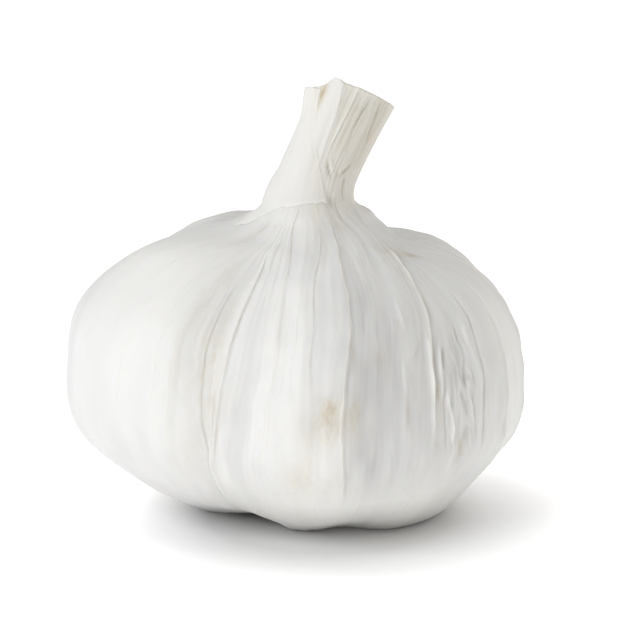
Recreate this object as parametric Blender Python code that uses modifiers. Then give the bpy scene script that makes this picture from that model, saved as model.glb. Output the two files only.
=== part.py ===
"""A garlic bulb: cloves under one papery skin that gathers into a leaning, cut neck, and a root plate below.

Metres, +Z up. The bulb stands on the flat spots under its cloves, at Z = 0, with the middle of its box on the
Z axis. Azimuths are degrees about the bulb's own axis: 0 is +X, 90 is the back and 270 is the front.
"""

import bisect
import math
import random

import bmesh
import bpy
from mathutils import Matrix, Vector

# Body of the bulb
MEAN_RADIUS = 0.0274
CREST_HEIGHT = 0.0175
LOBES_FROM_RADIUS = 0.0075
LOBES_FULL_RADIUS = 0.0175
FLAT_SPOT_DEPTH = 0.0004
SEED = 7

# Neck: it rises from its foot, bends over a short stretch, and is cut square to its own axis
NECK_FOOT = 0.0382
NECK_TOP = 0.0546
NECK_LEAN = 29.0
NECK_LEANS_TOWARDS = 33.0
NECK_BEND_LENGTH = 0.0060
NECK_OFFSET = Vector((-0.00085, 0.0, 0.0))
NECK_DEPTH_TO_WIDTH = 0.90
NECK_FROM = 0.0345
NECK_FULL = 0.0400

# Fibres of the neck: (count round it, phase in degrees, weight), and the smooth part of it at the left
NECK_FIBRES = ((9, 40, 1.0), (16, 0, 0.7), (23, 110, 0.6))
NECK_FIBRE_SHARE = 0.018
NECK_SMOOTH_SHARE = 0.35
NECK_ROUGH_FROM = 240
NECK_ROUGH_FULL = 275
NECK_ROUGH_TO = 120

# Outer sheath of the neck: its torn top, its lower edge, and the flap it throws onto the shoulder
TORN_AZIMUTH = 196
TORN_HALF_WIDTH = 64
TORN_FULL_HALF_WIDTH = 42
TORN_DEPTH = 0.0026
TORN_FROM = 0.0480
SHEATH_FROM = 184.0
SHEATH_TO = 286.0
SHEATH_BLEND = 9.0
SHEATH_HEIGHT = 0.03775
SHEATH_THICKNESS = 0.00028
SHEATH_UPRIGHT_FROM = 0.0390
SHEATH_UPRIGHT_TO = 0.0420
FLAP_AZIMUTH = 203.0
FLAP_HALF_WIDTH = 17.0
FLAP_REACH = 0.0034
FLAP_DROP = 0.45
FLAP_RADIUS = 0.0076
FLAP_HALF_LENGTH = 0.0042
FLAP_FROM = 0.0405
FLAP_FULL = 0.0385

# Pinches where the neck folds over: (azimuth, height, depth)
PINCHES = ((290, 0.0398, 0.0007), (312, 0.0412, 0.0004), (301, 0.0428, 0.0003))
PINCH_HALF_WIDTH = 10.0
PINCH_HALF_HEIGHT = 0.0013

# Mean side view of the skin, (radius, height): the cut end, the outside, and the hollow below
CUT_END = (
    (0.0000, 0.0543),
    (0.0014, 0.0543),
    (0.0019, 0.0538),
    (0.0027, 0.0544),
    (0.0033, 0.0539),
    (0.0040, 0.0546),
    (0.0044, 0.0541),
)
OUTER_SIDE = (
    (0.0054, 0.0546),
    (0.0050, 0.0500),
    (0.0048, 0.0455),
    (0.0050, 0.0418),
    (0.0057, 0.0395),
    (0.0074, 0.0379),
    (0.0078, 0.0376),
    (0.0104, 0.0363),
    (0.0143, 0.0351),
    (0.0194, 0.0322),
    (0.0240, 0.0276),
    (0.0266, 0.0224),
    (0.0274, 0.0175),
    (0.0268, 0.0123),
    (0.0249, 0.0075),
    (0.0215, 0.0037),
    (0.0172, 0.0009),
    (0.0134, -0.0003),
)
HOLLOW = (
    (0.0112, 0.0002),
    (0.0099, 0.0014),
    (0.0095, 0.0030),
    (0.0088, 0.0033),
    (0.0000, 0.0033),
)
ROWS_PER_SPAN = 2
SHEATH_RIM_RADIUS = 0.0042
SHEATH_FULL_RADIUS = 0.0046

# Radius of the bulb at its widest height, round the azimuths: crests of the cloves and the dips between them
GIRTH = (
    (18, 0.0250),
    (45, 0.0269),
    (69, 0.0257),
    (93, 0.0282),
    (118, 0.0267),
    (142, 0.0296),
    (168, 0.0298),
    (194, 0.0323),
    (214, 0.0299),
    (226, 0.0277),
    (238, 0.0257),
    (246, 0.0255),
    (254, 0.0259),
    (262, 0.0270),
    (270, 0.0283),
    (277, 0.0284),
    (285, 0.0271),
    (293, 0.0261),
    (302, 0.0257),
    (310, 0.0255),
    (318, 0.0252),
    (332, 0.0260),
    (352, 0.0260),
)
# Radius at which the cloves meet the surface they stand on
FOOT_RADIUS = (
    (18, 0.0158),
    (45, 0.0160),
    (69, 0.0150),
    (93, 0.0162),
    (118, 0.0150),
    (142, 0.0160),
    (168, 0.0152),
    (194, 0.0150),
    (210, 0.0149),
    (238, 0.0124),
    (265, 0.0118),
    (286, 0.0118),
    (306, 0.0140),
    (326, 0.0159),
    (350, 0.0162),
)
MEAN_FOOT_RADIUS = 0.0160
FOOT_HEIGHT = 0.016
FOOT_ROUNDING = 1.7
# How far the cloves swell past that form low down and high up, and the heights at which they do
LOW_BELLY = (
    (15, -0.0014),
    (60, 0.0),
    (130, 0.0),
    (184, -0.0006),
    (196, -0.0013),
    (206, -0.0010),
    (235, 0.0),
    (300, 0.0),
    (335, -0.0015),
    (350, -0.0015),
)
LOW_BELLY_AT = (0.0050, 0.0075)
HIGH_BELLY = (
    (15, 0.0003),
    (35, 0.0013),
    (90, 0.0),
    (140, 0.0002),
    (186, 0.0013),
    (215, 0.0006),
    (250, 0.0),
    (300, 0.0),
    (350, 0.0003),
)
HIGH_BELLY_AT = (0.0275, 0.0085)
# How far the foot of the neck flares onto the shoulders
NECK_FLARE = (
    (0, 0.0009),
    (40, 0.0005),
    (90, 0.0002),
    (180, 0.0),
    (270, 0.0),
    (320, 0.0005),
)
NECK_FLARE_AT = (0.0389, 0.0017)
# Share by which a clove's shoulder stands higher than the mean
SHOULDER_RISE = (
    (20, -0.03),
    (45, -0.03),
    (90, -0.02),
    (142, -0.015),
    (168, 0.01),
    (196, 0.05),
    (240, 0.0),
    (280, -0.01),
    (330, -0.01),
)
# Share by which a shoulder is square: pushed out round its edge and sunk next to the neck
SHOULDER_SQUARE = (
    (15, 1.1),
    (50, 0.8),
    (100, 0.0),
    (140, -0.6),
    (165, -0.1),
    (196, 0.2),
    (250, 0.0),
    (300, 0.3),
    (340, 0.9),
)
SHOULDER_PUSH = 0.0003
SHOULDER_PUSH_AT = (0.0222, 0.0050)
SHOULDER_SINK = 0.0015
SHOULDER_SINK_AT = (0.0122, 0.0062)
# How far the underside is lifted off the surface between the cloves
FOOT_LIFT = (
    (18, 0.0016),
    (45, 0.0),
    (69, 0.0015),
    (93, 0.0),
    (118, 0.0014),
    (142, 0.0),
    (168, 0.0011),
    (190, 0.0),
    (209, 0.0013),
    (234, 0.0019),
    (257, 0.0),
    (286, 0.0007),
    (308, 0.0),
    (330, 0.0002),
    (352, 0.0),
)
FOOT_INNER = (0.0098, 0.0125)
FOOT_OUTER = (0.0240, 0.0160)

# Furrows between cloves: (azimuth, depth, half-width in degrees)
FURROWS = (
    (18, 0.0010, 4.0),
    (69, 0.0012, 4.0),
    (118, 0.0010, 4.0),
    (168, 0.0006, 4.0),
    (238, 0.0004, 3.4),
    (315, 0.0005, 3.4),
)
FURROW_TOP = (0.036, 0.026)
# Ridges of the skin seen from the front: (azimuth, height, lowest, highest)
FRONT_RIDGES = (
    (230, 0.00028, 0.006, 0.032),
    (243, 0.00040, 0.004, 0.034),
    (254, 0.00022, 0.004, 0.035),
    (266, 0.00022, 0.008, 0.036),
    (281, 0.00045, 0.003, 0.036),
    (292, 0.00022, 0.005, 0.036),
    (303, 0.00028, 0.004, 0.034),
    (309, 0.00045, 0.005, 0.030),
    (320, 0.00045, 0.006, 0.031),
    (327, 0.00035, 0.008, 0.032),
)
BACK_RIDGES_FROM = 336.0
BACK_RIDGES_TO = 528.0
BACK_RIDGE_COUNT = 13
BACK_RIDGE_STRAY = 0.25
BACK_RIDGE_HEIGHTS = (0.00022, 0.00042)
BACK_RIDGE_LOWEST = (0.004, 0.008)
BACK_RIDGE_HIGHEST = (0.031, 0.036)
RIDGE_HALF_WIDTH = 1.3
RIDGE_LOW_FADE = 0.003
RIDGE_HIGH_FADE = 0.004
RELIEF_FROM_RADIUS = 0.0085
RELIEF_FULL_RADIUS = 0.0125

# The surface is turned in this many columns, drawn together at ridges and furrows
COLUMNS = 124
MERGE_DISTANCE = 0.00005

# Root plate and the stubs of its trimmed roots
PLATE_RADIUS = 0.0084
PLATE_LOW = 0.0016
PLATE_HIGH = 0.0030
PLATE_CHAMFER = 0.0004
PLATE_SIDES = 36
ROOT_RINGS = ((0.0068, 19), (0.0047, 13), (0.0026, 7), (0.0006, 2))
ROOT_STRAY_ROUND = 0.2
ROOT_STRAY_OUT = (0.95, 1.05)
ROOT_RADIUS = 0.00048
ROOT_GIRTHS = (0.8, 1.2)
ROOT_TAPER = 0.85
ROOT_SUNK = 0.0006
ROOT_TIPS = (0.00035, 0.0009)
ROOT_SPLAY = 12.0
ROOT_SPLAY_STRAY = 4.0
ROOT_SIDES = 5
SMOOTH_ANGLE = 35.0


def smooth_step(low, high, x):
    """0 below low, 1 above high, and a smooth climb between them. low may be the larger."""
    t = min(1.0, max(0.0, (x - low) / (high - low)))
    return t * t * (3 - 2 * t)


def hump(x, middle, half_width):
    """1 at the middle, falling smoothly to 0 at the half-width."""
    t = min(1.0, abs(x - middle) / half_width)
    return (1 - t * t) ** 2


def turn_between(a, b):
    """Degrees from azimuth b to azimuth a, the short way."""
    return (a - b + 180) % 360 - 180


def cubic(before, start, end, after, t):
    """Catmull-Rom curve from start to end."""
    return 0.5 * (
        2 * start
        + (end - before) * t
        + (2 * before - 5 * start + 4 * end - after) * t * t
        + (3 * start - before - 3 * end + after) * t * t * t
    )


def around(stations, azimuth):
    """Value at an azimuth on the smooth closed curve through (azimuth, value) stations."""
    count = len(stations)
    azimuth = (azimuth - stations[0][0]) % 360 + stations[0][0]
    i = bisect.bisect_right([at for at, _ in stations], azimuth) - 1
    start, end = stations[i], stations[(i + 1) % count]
    span = (end[0] - start[0]) % 360
    t = (azimuth - start[0]) / span
    return cubic(stations[i - 1][1], start[1], end[1], stations[(i + 2) % count][1], t)


def smooth_line(points, per_span):
    """The points of a smooth open curve through the given ones."""
    path = [2 * points[0] - points[1], *points, 2 * points[-1] - points[-2]]
    line = []
    for i in range(1, len(path) - 2):
        for step in range(per_span):
            line.append(cubic(path[i - 1], path[i], path[i + 1], path[i + 2], step / per_span))
    return [*line, path[-2]]


def side_points(stations):
    return [Vector((radius, 0, height)) for radius, height in stations]


def mean_profile():
    """Side view of the skin at +X, from the middle of the cut end down to the middle of the hollow."""
    side = smooth_line(side_points(OUTER_SIDE), ROWS_PER_SPAN)
    return [*side_points(CUT_END), *side, *side_points(HOLLOW)]


def back_ridges():
    """Ridges of the skin on the sides and back, spread evenly with a seeded stray."""
    draw = random.Random(SEED)
    step = (BACK_RIDGES_TO - BACK_RIDGES_FROM) / (BACK_RIDGE_COUNT - 1)
    ridges = []
    for i in range(BACK_RIDGE_COUNT):
        stray = draw.uniform(-BACK_RIDGE_STRAY, BACK_RIDGE_STRAY)
        azimuth = (BACK_RIDGES_FROM + step * (i + stray)) % 360
        height = draw.uniform(*BACK_RIDGE_HEIGHTS)
        lowest = draw.uniform(*BACK_RIDGE_LOWEST)
        highest = draw.uniform(*BACK_RIDGE_HIGHEST)
        ridges.append((azimuth, height, lowest, highest))
    return ridges


RIDGES = (*FRONT_RIDGES, *back_ridges())


def column_azimuths():
    """Azimuths of the columns: three at each ridge and furrow, and the rest spread over the gaps."""
    marks = []
    for azimuth, half_width in [(r[0], RIDGE_HALF_WIDTH) for r in RIDGES] + [(f[0], f[2]) for f in FURROWS]:
        marks += [azimuth - half_width, azimuth, azimuth + half_width]
    marks = sorted(mark % 360 for mark in marks)
    kept = [marks[0]]
    for mark in marks[1:]:
        if mark - kept[-1] > RIDGE_HALF_WIDTH / 2:
            kept.append(mark)
    while len(kept) < COLUMNS:
        gaps = [((kept[(i + 1) % len(kept)] - kept[i]) % 360, i) for i in range(len(kept))]
        gap, i = max(gaps)
        kept.insert(i + 1, kept[i] + gap / 2)
    return sorted(mark % 360 for mark in kept)


def relief(azimuth, height):
    """How far the ridges and furrows move the skin out at a place on it."""
    out = 0.0
    for at, rise, lowest, highest in RIDGES:
        tent = max(0.0, 1 - abs(turn_between(azimuth, at)) / RIDGE_HALF_WIDTH)
        up = smooth_step(lowest - RIDGE_LOW_FADE, lowest + RIDGE_LOW_FADE, height)
        down = smooth_step(highest + RIDGE_HIGH_FADE / 2, highest - RIDGE_HIGH_FADE, height)
        out += rise * tent * up * down
    for at, depth, half_width in FURROWS:
        off = turn_between(azimuth, at) / half_width
        out -= depth * math.exp(-off * off) * smooth_step(*FURROW_TOP, height)
    return out


def lobe_offset(azimuth, height):
    """How far the cloves carry the skin out from the mean at a height."""
    at_foot = around(FOOT_RADIUS, azimuth) - MEAN_FOOT_RADIUS
    at_crest = around(GIRTH, azimuth) - MEAN_RADIUS
    climb = min(1.0, max(0.0, height / FOOT_HEIGHT))
    low = around(LOW_BELLY, azimuth) * hump(height, *LOW_BELLY_AT)
    high = around(HIGH_BELLY, azimuth) * hump(height, *HIGH_BELLY_AT)
    return at_crest + (at_foot - at_crest) * (1 - climb) ** FOOT_ROUNDING + low + high


def neck_stray(azimuth):
    """Share by which the fibres of the neck make its radius stray."""
    fibres = 0.0
    for count, phase, weight in NECK_FIBRES:
        fibres += weight * math.cos(math.radians(count * azimuth + phase))
    if azimuth > 180:
        rough = smooth_step(NECK_ROUGH_FROM, NECK_ROUGH_FULL, azimuth)
    else:
        rough = smooth_step(NECK_ROUGH_TO, NECK_ROUGH_TO / 2, azimuth)
    return NECK_FIBRE_SHARE * fibres * (NECK_SMOOTH_SHARE + (1 - NECK_SMOOTH_SHARE) * rough)


def sheath_cover(azimuth):
    """1 where the outer sheath of the neck covers the skin, 0 where it is missing."""
    rise = smooth_step(SHEATH_FROM, SHEATH_FROM + SHEATH_BLEND, azimuth)
    return rise * smooth_step(SHEATH_TO, SHEATH_TO - SHEATH_BLEND, azimuth)


def sheath_torn(azimuth):
    """How far down the outer sheath of the neck is torn at this azimuth."""
    off = abs(turn_between(azimuth, TORN_AZIMUTH))
    return TORN_DEPTH * smooth_step(TORN_HALF_WIDTH, TORN_FULL_HALF_WIDTH, off)


def pinch_depth(azimuth, height):
    """How deep the pinches at the foot of the neck dent it."""
    depth = 0.0
    for at, level, deep in PINCHES:
        across = hump(turn_between(azimuth, at), 0, PINCH_HALF_WIDTH)
        depth += deep * across * hump(height, level, PINCH_HALF_HEIGHT)
    return depth


def bent(point):
    """A point of the upright neck, carried over by the lean."""
    height = point.z - NECK_FOOT
    if height <= 0:
        return point
    lean = math.radians(NECK_LEAN)
    turn = lean * min(1.0, height / NECK_BEND_LENGTH)
    radius = NECK_BEND_LENGTH / lean
    past = max(0.0, height - NECK_BEND_LENGTH)
    along = radius * math.sin(turn) + past * math.cos(lean)
    over = radius * (1 - math.cos(turn)) + past * math.sin(lean)
    towards = math.radians(NECK_LEANS_TOWARDS)
    heading = Vector((math.cos(towards), math.sin(towards), 0))
    centre = Vector((0, 0, NECK_FOOT + along)) + heading * over
    tilt = Matrix.Rotation(turn, 3, Vector((-heading.y, heading.x, 0)))
    return centre + tilt @ Vector((point.x, point.y, 0))


def shaped_shoulder(grown, height, radius, azimuth, in_lobes):
    """Shapes the half above the widest height: the cloves' shoulders, the flap and the sheath's edge."""
    square = around(SHOULDER_SQUARE, azimuth)
    push = SHOULDER_PUSH * square * hump(radius, *SHOULDER_PUSH_AT)
    sink = SHOULDER_SINK * square * hump(radius, *SHOULDER_SINK_AT)
    raised = height + (height - CREST_HEIGHT) * around(SHOULDER_RISE, azimuth) * in_lobes + push - sink
    flap = FLAP_REACH * hump(turn_between(azimuth, FLAP_AZIMUTH), 0, FLAP_HALF_WIDTH)
    flap *= hump(radius, FLAP_RADIUS, FLAP_HALF_LENGTH) * smooth_step(FLAP_FROM, FLAP_FULL, raised)
    cover = SHEATH_THICKNESS * sheath_cover(azimuth) if raised > SHEATH_HEIGHT else 0.0
    outside = smooth_step(SHEATH_RIM_RADIUS, SHEATH_FULL_RADIUS, radius)
    sloping = smooth_step(SHEATH_UPRIGHT_TO, SHEATH_UPRIGHT_FROM, raised)
    return grown + push + flap + cover * outside, raised + cover * sloping - flap * FLAP_DROP


def shaped_foot(height, radius, azimuth):
    """Shapes the underside: lifted between the cloves, and cut flat where they stand."""
    under = smooth_step(*FOOT_INNER, radius) * smooth_step(*FOOT_OUTER, radius)
    lift = max(0.0, around(FOOT_LIFT, azimuth)) - FLAT_SPOT_DEPTH
    return max(0.0, height + lift * under)


def sculpted(radius, height, azimuth):
    """Where a place on the mean turned surface goes on the real bulb."""
    in_lobes = smooth_step(LOBES_FROM_RADIUS, LOBES_FULL_RADIUS, radius)
    grown = radius + lobe_offset(azimuth, height) * in_lobes
    grown += relief(azimuth, height) * smooth_step(RELIEF_FROM_RADIUS, RELIEF_FULL_RADIUS, radius)
    grown += around(NECK_FLARE, azimuth) * hump(height, *NECK_FLARE_AT)
    if height > CREST_HEIGHT:
        grown, height = shaped_shoulder(grown, height, radius, azimuth, in_lobes)
    elif radius > HOLLOW[1][0]:
        height = shaped_foot(height, radius, azimuth)
    in_neck = smooth_step(NECK_FROM, NECK_FULL, height)
    if height > NECK_FOOT:
        grown *= 1 + neck_stray(azimuth) * smooth_step(NECK_FOOT, NECK_FULL, height)
        grown -= pinch_depth(azimuth, height)
        if radius > SHEATH_RIM_RADIUS:
            height -= sheath_torn(azimuth) * smooth_step(TORN_FROM, NECK_TOP, height)
    turn = math.radians(azimuth)
    depth = 1 + (NECK_DEPTH_TO_WIDTH - 1) * in_neck
    point = Vector((grown * math.cos(turn), grown * math.sin(turn) * depth, height))
    return bent(point) + NECK_OFFSET * in_neck


def turned_blank(name):
    """The mean profile turned round Z by a Screw modifier, as a mesh object."""
    profile = bpy.data.meshes.new(name + "_profile")
    points = mean_profile()
    profile.from_pydata(points, [(i, i + 1) for i in range(len(points) - 1)], [])
    turned = bpy.data.objects.new(name + "_turned", profile)
    bpy.context.scene.collection.objects.link(turned)
    screw = turned.modifiers.new("turn", "SCREW")
    screw.steps = COLUMNS
    screw.render_steps = COLUMNS
    screw.use_merge_vertices = True
    screw.merge_threshold = MERGE_DISTANCE
    blank = evaluated_mesh(turned, name)
    bpy.data.objects.remove(turned)
    return bpy.data.objects.new(name, blank)


def evaluated_mesh(obj, name):
    """The object's mesh with its modifiers applied."""
    bpy.context.view_layer.update()
    graph = bpy.context.evaluated_depsgraph_get()
    mesh = bpy.data.meshes.new_from_object(obj.evaluated_get(graph))
    mesh.name = name
    return mesh


def shape_bulb(bulb):
    """Moves each vertex of the turned blank to its place on the bulb."""
    azimuths = column_azimuths()
    step = 360 / COLUMNS
    for vertex in bulb.data.vertices:
        x, y, height = vertex.co
        column = round(math.degrees(math.atan2(y, x)) / step) % COLUMNS
        vertex.co = sculpted(math.hypot(x, y), height, azimuths[column])


def mesh_object(name, bm):
    mesh = bpy.data.meshes.new(name)
    bm.to_mesh(mesh)
    bm.free()
    return bpy.data.objects.new(name, mesh)


def root_plate():
    """The corky plate under the bulb, a chamfered disc."""
    bm = bmesh.new()
    bmesh.ops.create_cone(
        bm,
        cap_ends=True,
        segments=PLATE_SIDES,
        radius1=PLATE_RADIUS - PLATE_CHAMFER,
        radius2=PLATE_RADIUS,
        depth=PLATE_HIGH - PLATE_LOW,
        matrix=Matrix.Translation((0, 0, (PLATE_LOW + PLATE_HIGH) / 2)),
    )
    return mesh_object("root_plate", bm)


def root_stub(number, radius, azimuth, draw):
    """One trimmed root: a short tapered stick that leans out from the plate."""
    tip = draw.uniform(*ROOT_TIPS)
    depth = PLATE_LOW + ROOT_SUNK - tip
    girth = ROOT_RADIUS * draw.uniform(*ROOT_GIRTHS)
    bm = bmesh.new()
    bmesh.ops.create_cone(
        bm, cap_ends=True, segments=ROOT_SIDES, radius1=girth * ROOT_TAPER, radius2=girth, depth=depth
    )
    splay = ROOT_SPLAY * radius / PLATE_RADIUS + draw.uniform(-ROOT_SPLAY_STRAY, ROOT_SPLAY_STRAY)
    heading = Matrix.Rotation(azimuth, 4, "Z")
    lean = Matrix.Rotation(-math.radians(splay), 4, "Y")
    spin = Matrix.Rotation(draw.uniform(0, math.tau), 4, "Z")
    centre = Vector((radius * math.cos(azimuth), radius * math.sin(azimuth), tip + depth / 2))
    bm.transform(Matrix.Translation(centre) @ heading @ lean @ spin)
    return mesh_object(f"root_stub_{number}", bm)


def join_root_stubs(plate):
    """Places the stubs in rings with a seeded stray and joins them to the plate by one union."""
    draw = random.Random(SEED)
    stubs = bpy.data.collections.new("root_stubs")
    bpy.context.scene.collection.children.link(stubs)
    for ring_radius, count in ROOT_RINGS:
        for i in range(count):
            azimuth = math.tau * (i + draw.uniform(-ROOT_STRAY_ROUND, ROOT_STRAY_ROUND)) / count
            radius = ring_radius * draw.uniform(*ROOT_STRAY_OUT)
            stubs.objects.link(root_stub(len(stubs.objects), radius, azimuth, draw))
    union = plate.modifiers.new("roots", "BOOLEAN")
    union.operation = "UNION"
    union.operand_type = "COLLECTION"
    union.collection = stubs
    joined = evaluated_mesh(plate, plate.name)
    plate.modifiers.clear()
    plate.data = joined
    for stub in list(stubs.objects):
        bpy.data.objects.remove(stub)
    bpy.data.collections.remove(stubs)


def material(name, colour, roughness):
    made = bpy.data.materials.new(name)
    made.use_nodes = True
    shader = made.node_tree.nodes["Principled BSDF"]
    shader.inputs["Base Color"].default_value = (*colour, 1)
    shader.inputs["Roughness"].default_value = roughness
    shader.inputs["Metallic"].default_value = 0
    return made


def middle_of_box(mesh):
    """The middle of a mesh's box in plan."""
    xs = [vertex.co.x for vertex in mesh.vertices]
    ys = [vertex.co.y for vertex in mesh.vertices]
    return Vector(((min(xs) + max(xs)) / 2, (min(ys) + max(ys)) / 2, 0))


def finish(obj, finish_material):
    obj.data.materials.clear()
    obj.data.materials.append(finish_material)
    obj.data.shade_smooth()
    obj.data.set_sharp_from_angle(angle=math.radians(SMOOTH_ANGLE))


def main():
    for obj in list(bpy.data.objects):
        bpy.data.objects.remove(obj)
    garlic = bpy.data.collections.new("garlic_bulb")
    bpy.context.scene.collection.children.link(garlic)

    bulb = turned_blank("bulb")
    garlic.objects.link(bulb)
    shape_bulb(bulb)

    plate = root_plate()
    garlic.objects.link(plate)
    join_root_stubs(plate)

    to_origin = Matrix.Translation(-middle_of_box(bulb.data))
    for obj in (bulb, plate):
        obj.data.transform(to_origin)

    finish(bulb, material("papery_skin", colour=(0.84, 0.82, 0.78), roughness=0.55))
    finish(plate, material("root_cork", colour=(0.50, 0.38, 0.24), roughness=0.85))


main()
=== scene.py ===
"""The looks of a garlic bulb: papery skin over cloves, a leaning cut neck in torn sheaths, and a root plate.

Shapes are worked out in millimetres about the bulb's own axis, and put in the frame in metres. Azimuths are
degrees about that axis: 0 is +X, 90 is the back and 270 is the front. A place on the skin is an azimuth and a
length down its side from the rim of the neck. A noise is given as (cells round the bulb, length of a cell,
height), and two numbers of a smooth step are where it is 0 and where it is 1.
"""

import collections
import math
import random

import bmesh
import bpy
import numpy as np
from mathutils import Matrix, Vector
from mathutils.bvhtree import BVHTree


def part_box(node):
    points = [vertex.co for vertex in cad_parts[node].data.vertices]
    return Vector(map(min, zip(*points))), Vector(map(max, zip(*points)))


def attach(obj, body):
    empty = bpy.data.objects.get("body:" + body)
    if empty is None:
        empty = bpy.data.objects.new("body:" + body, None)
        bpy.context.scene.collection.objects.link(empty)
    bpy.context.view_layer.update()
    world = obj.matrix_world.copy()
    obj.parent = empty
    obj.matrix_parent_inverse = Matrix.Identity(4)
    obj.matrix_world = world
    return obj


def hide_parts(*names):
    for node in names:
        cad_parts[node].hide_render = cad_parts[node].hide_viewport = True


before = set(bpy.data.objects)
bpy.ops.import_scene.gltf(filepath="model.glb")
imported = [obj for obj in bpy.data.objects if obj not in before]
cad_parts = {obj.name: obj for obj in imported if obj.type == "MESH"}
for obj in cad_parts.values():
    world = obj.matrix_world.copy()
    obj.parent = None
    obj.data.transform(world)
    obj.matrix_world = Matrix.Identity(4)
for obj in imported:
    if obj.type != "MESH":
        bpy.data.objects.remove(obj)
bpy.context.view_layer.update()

MM = 0.001
SEED = 7

# Body of the bulb
MEAN_RADIUS = 27.4
CREST_HEIGHT = 17.5
LOBES_FROM_RADIUS = 7.5
LOBES_FULL_RADIUS = 17.5
FLAT_SPOT_DEPTH = 0.4
HOLLOW_RADIUS = 9.9

# Neck: it rises from its foot, bends over a short stretch, and is cut square to its own axis
NECK_FOOT = 38.2
NECK_TOP = 54.6
NECK_LEAN = 29.0
NECK_LEANS_TOWARDS = 33.0
NECK_BEND_LENGTH = 6.0
NECK_OFFSET = -0.85
NECK_DEPTH_TO_WIDTH = 0.90
NECK_FROM = 34.5
NECK_FULL = 40.0

# Mean side view of the skin, (radius, height), from the rim of the neck to the hollow round the root plate
SIDE_STATIONS = (
    (5.4, 54.6),
    (5.0, 50.0),
    (4.8, 45.5),
    (5.0, 41.8),
    (5.7, 39.5),
    (7.4, 37.9),
    (7.8, 37.6),
    (10.4, 36.3),
    (14.3, 35.1),
    (19.4, 32.2),
    (24.0, 27.6),
    (26.6, 22.4),
    (27.4, 17.5),
    (26.8, 12.3),
    (24.9, 7.5),
    (21.5, 3.7),
    (17.2, 0.9),
    (13.4, -0.3),
    (11.2, 0.2),
    (9.9, 1.4),
    (9.5, 3.0),
)
HOLLOW_TOP = 3.3
ROWS_PER_STATION = 24
STEPS_PER_STATION = 8

# Radius of the bulb at its widest height, round the azimuths: crests of the cloves and the dips between them
GIRTH = (
    (18, 25.0),
    (45, 26.9),
    (69, 25.7),
    (93, 28.2),
    (118, 26.7),
    (142, 29.6),
    (168, 29.8),
    (194, 32.3),
    (214, 29.9),
    (226, 27.7),
    (238, 25.7),
    (246, 25.5),
    (254, 25.9),
    (262, 27.0),
    (270, 28.3),
    (277, 28.4),
    (285, 27.1),
    (293, 26.1),
    (302, 25.7),
    (310, 25.5),
    (318, 25.2),
    (332, 26.0),
    (352, 26.0),
)
# Radius at which the cloves meet the surface they stand on
FOOT_RADIUS = (
    (18, 15.8),
    (45, 16.0),
    (69, 15.0),
    (93, 16.2),
    (118, 15.0),
    (142, 16.0),
    (168, 15.2),
    (194, 15.0),
    (210, 14.9),
    (238, 12.4),
    (265, 11.8),
    (286, 11.8),
    (306, 14.0),
    (326, 15.9),
    (350, 16.2),
)
MEAN_FOOT_RADIUS = 16.0
FOOT_HEIGHT = 16.0
FOOT_ROUNDING = 1.7
# How far the cloves swell past that form low down and high up, and the heights at which they do
LOW_BELLY = (
    (15, -1.4),
    (60, 0.0),
    (130, 0.0),
    (184, -0.6),
    (196, -1.3),
    (206, -1.0),
    (235, 0.0),
    (300, 0.0),
    (335, -1.5),
    (350, -1.5),
)
LOW_BELLY_AT = (5.0, 7.5)
HIGH_BELLY = (
    (15, 0.3),
    (35, 1.3),
    (90, 0.0),
    (140, 0.2),
    (186, 1.3),
    (215, 0.8),
    (228, 0.6),
    (240, 0.6),
    (250, 0.3),
    (262, 0.0),
    (300, 0.0),
    (350, 0.3),
)
HIGH_BELLY_AT = (27.5, 8.5)
# How far the foot of the neck flares onto the shoulders
NECK_FLARE = (
    (0, 0.55),
    (40, 0.3),
    (90, 0.2),
    (180, 0.0),
    (270, 0.0),
    (320, 0.4),
)
NECK_FLARE_AT = (38.9, 1.7)
# Share by which a clove's shoulder stands higher than the mean, and by which it is square
SHOULDER_RISE = (
    (20, -0.03),
    (45, -0.03),
    (90, -0.02),
    (142, -0.015),
    (168, 0.01),
    (196, 0.05),
    (240, 0.0),
    (280, -0.01),
    (330, -0.01),
)
SHOULDER_SQUARE = (
    (15, 1.1),
    (50, 0.8),
    (100, 0.0),
    (140, -0.6),
    (165, -0.1),
    (196, 0.2),
    (250, 0.0),
    (300, 0.3),
    (340, 0.9),
)
SHOULDER_PUSH = 0.3
SHOULDER_PUSH_AT = (22.2, 5.0)
SHOULDER_SINK = 1.5
SHOULDER_SINK_AT = (12.2, 6.2)
# How far the underside is lifted off the surface between the cloves
FOOT_LIFT = (
    (18, 1.6),
    (45, 0.0),
    (69, 1.5),
    (93, 0.0),
    (118, 1.4),
    (142, 0.0),
    (168, 1.1),
    (190, 0.0),
    (209, 1.3),
    (234, 1.9),
    (257, 0.0),
    (286, 0.7),
    (308, 0.0),
    (330, 0.2),
    (352, 0.0),
)
FOOT_INNER = (9.8, 12.5)
FOOT_OUTER = (24.0, 16.0)
# Furrows between cloves: (azimuth, depth, half-width in degrees)
FURROWS = (
    (18, 1.0, 4.0),
    (69, 1.2, 4.0),
    (118, 1.0, 4.0),
    (168, 0.6, 4.0),
    (238, 0.4, 3.4),
    (315, 0.3, 3.4),
)
FURROW_TOP = (36.0, 26.0)
FURROW_RADII = (8.5, 12.5)

# Rim of the neck: how far down it is torn round the azimuths, and the length over which that fades
RIM_DROP = (
    (0, 0.0),
    (60, 0.1),
    (110, 0.2),
    (140, 1.6),
    (170, 2.6),
    (205, 2.6),
    (226, 1.6),
    (238, -0.15),
    (246, 0.0),
    (254, 0.18),
    (264, 0.10),
    (272, 0.0),
    (320, 0.0),
)
RIM_FADE = 6.0
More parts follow.
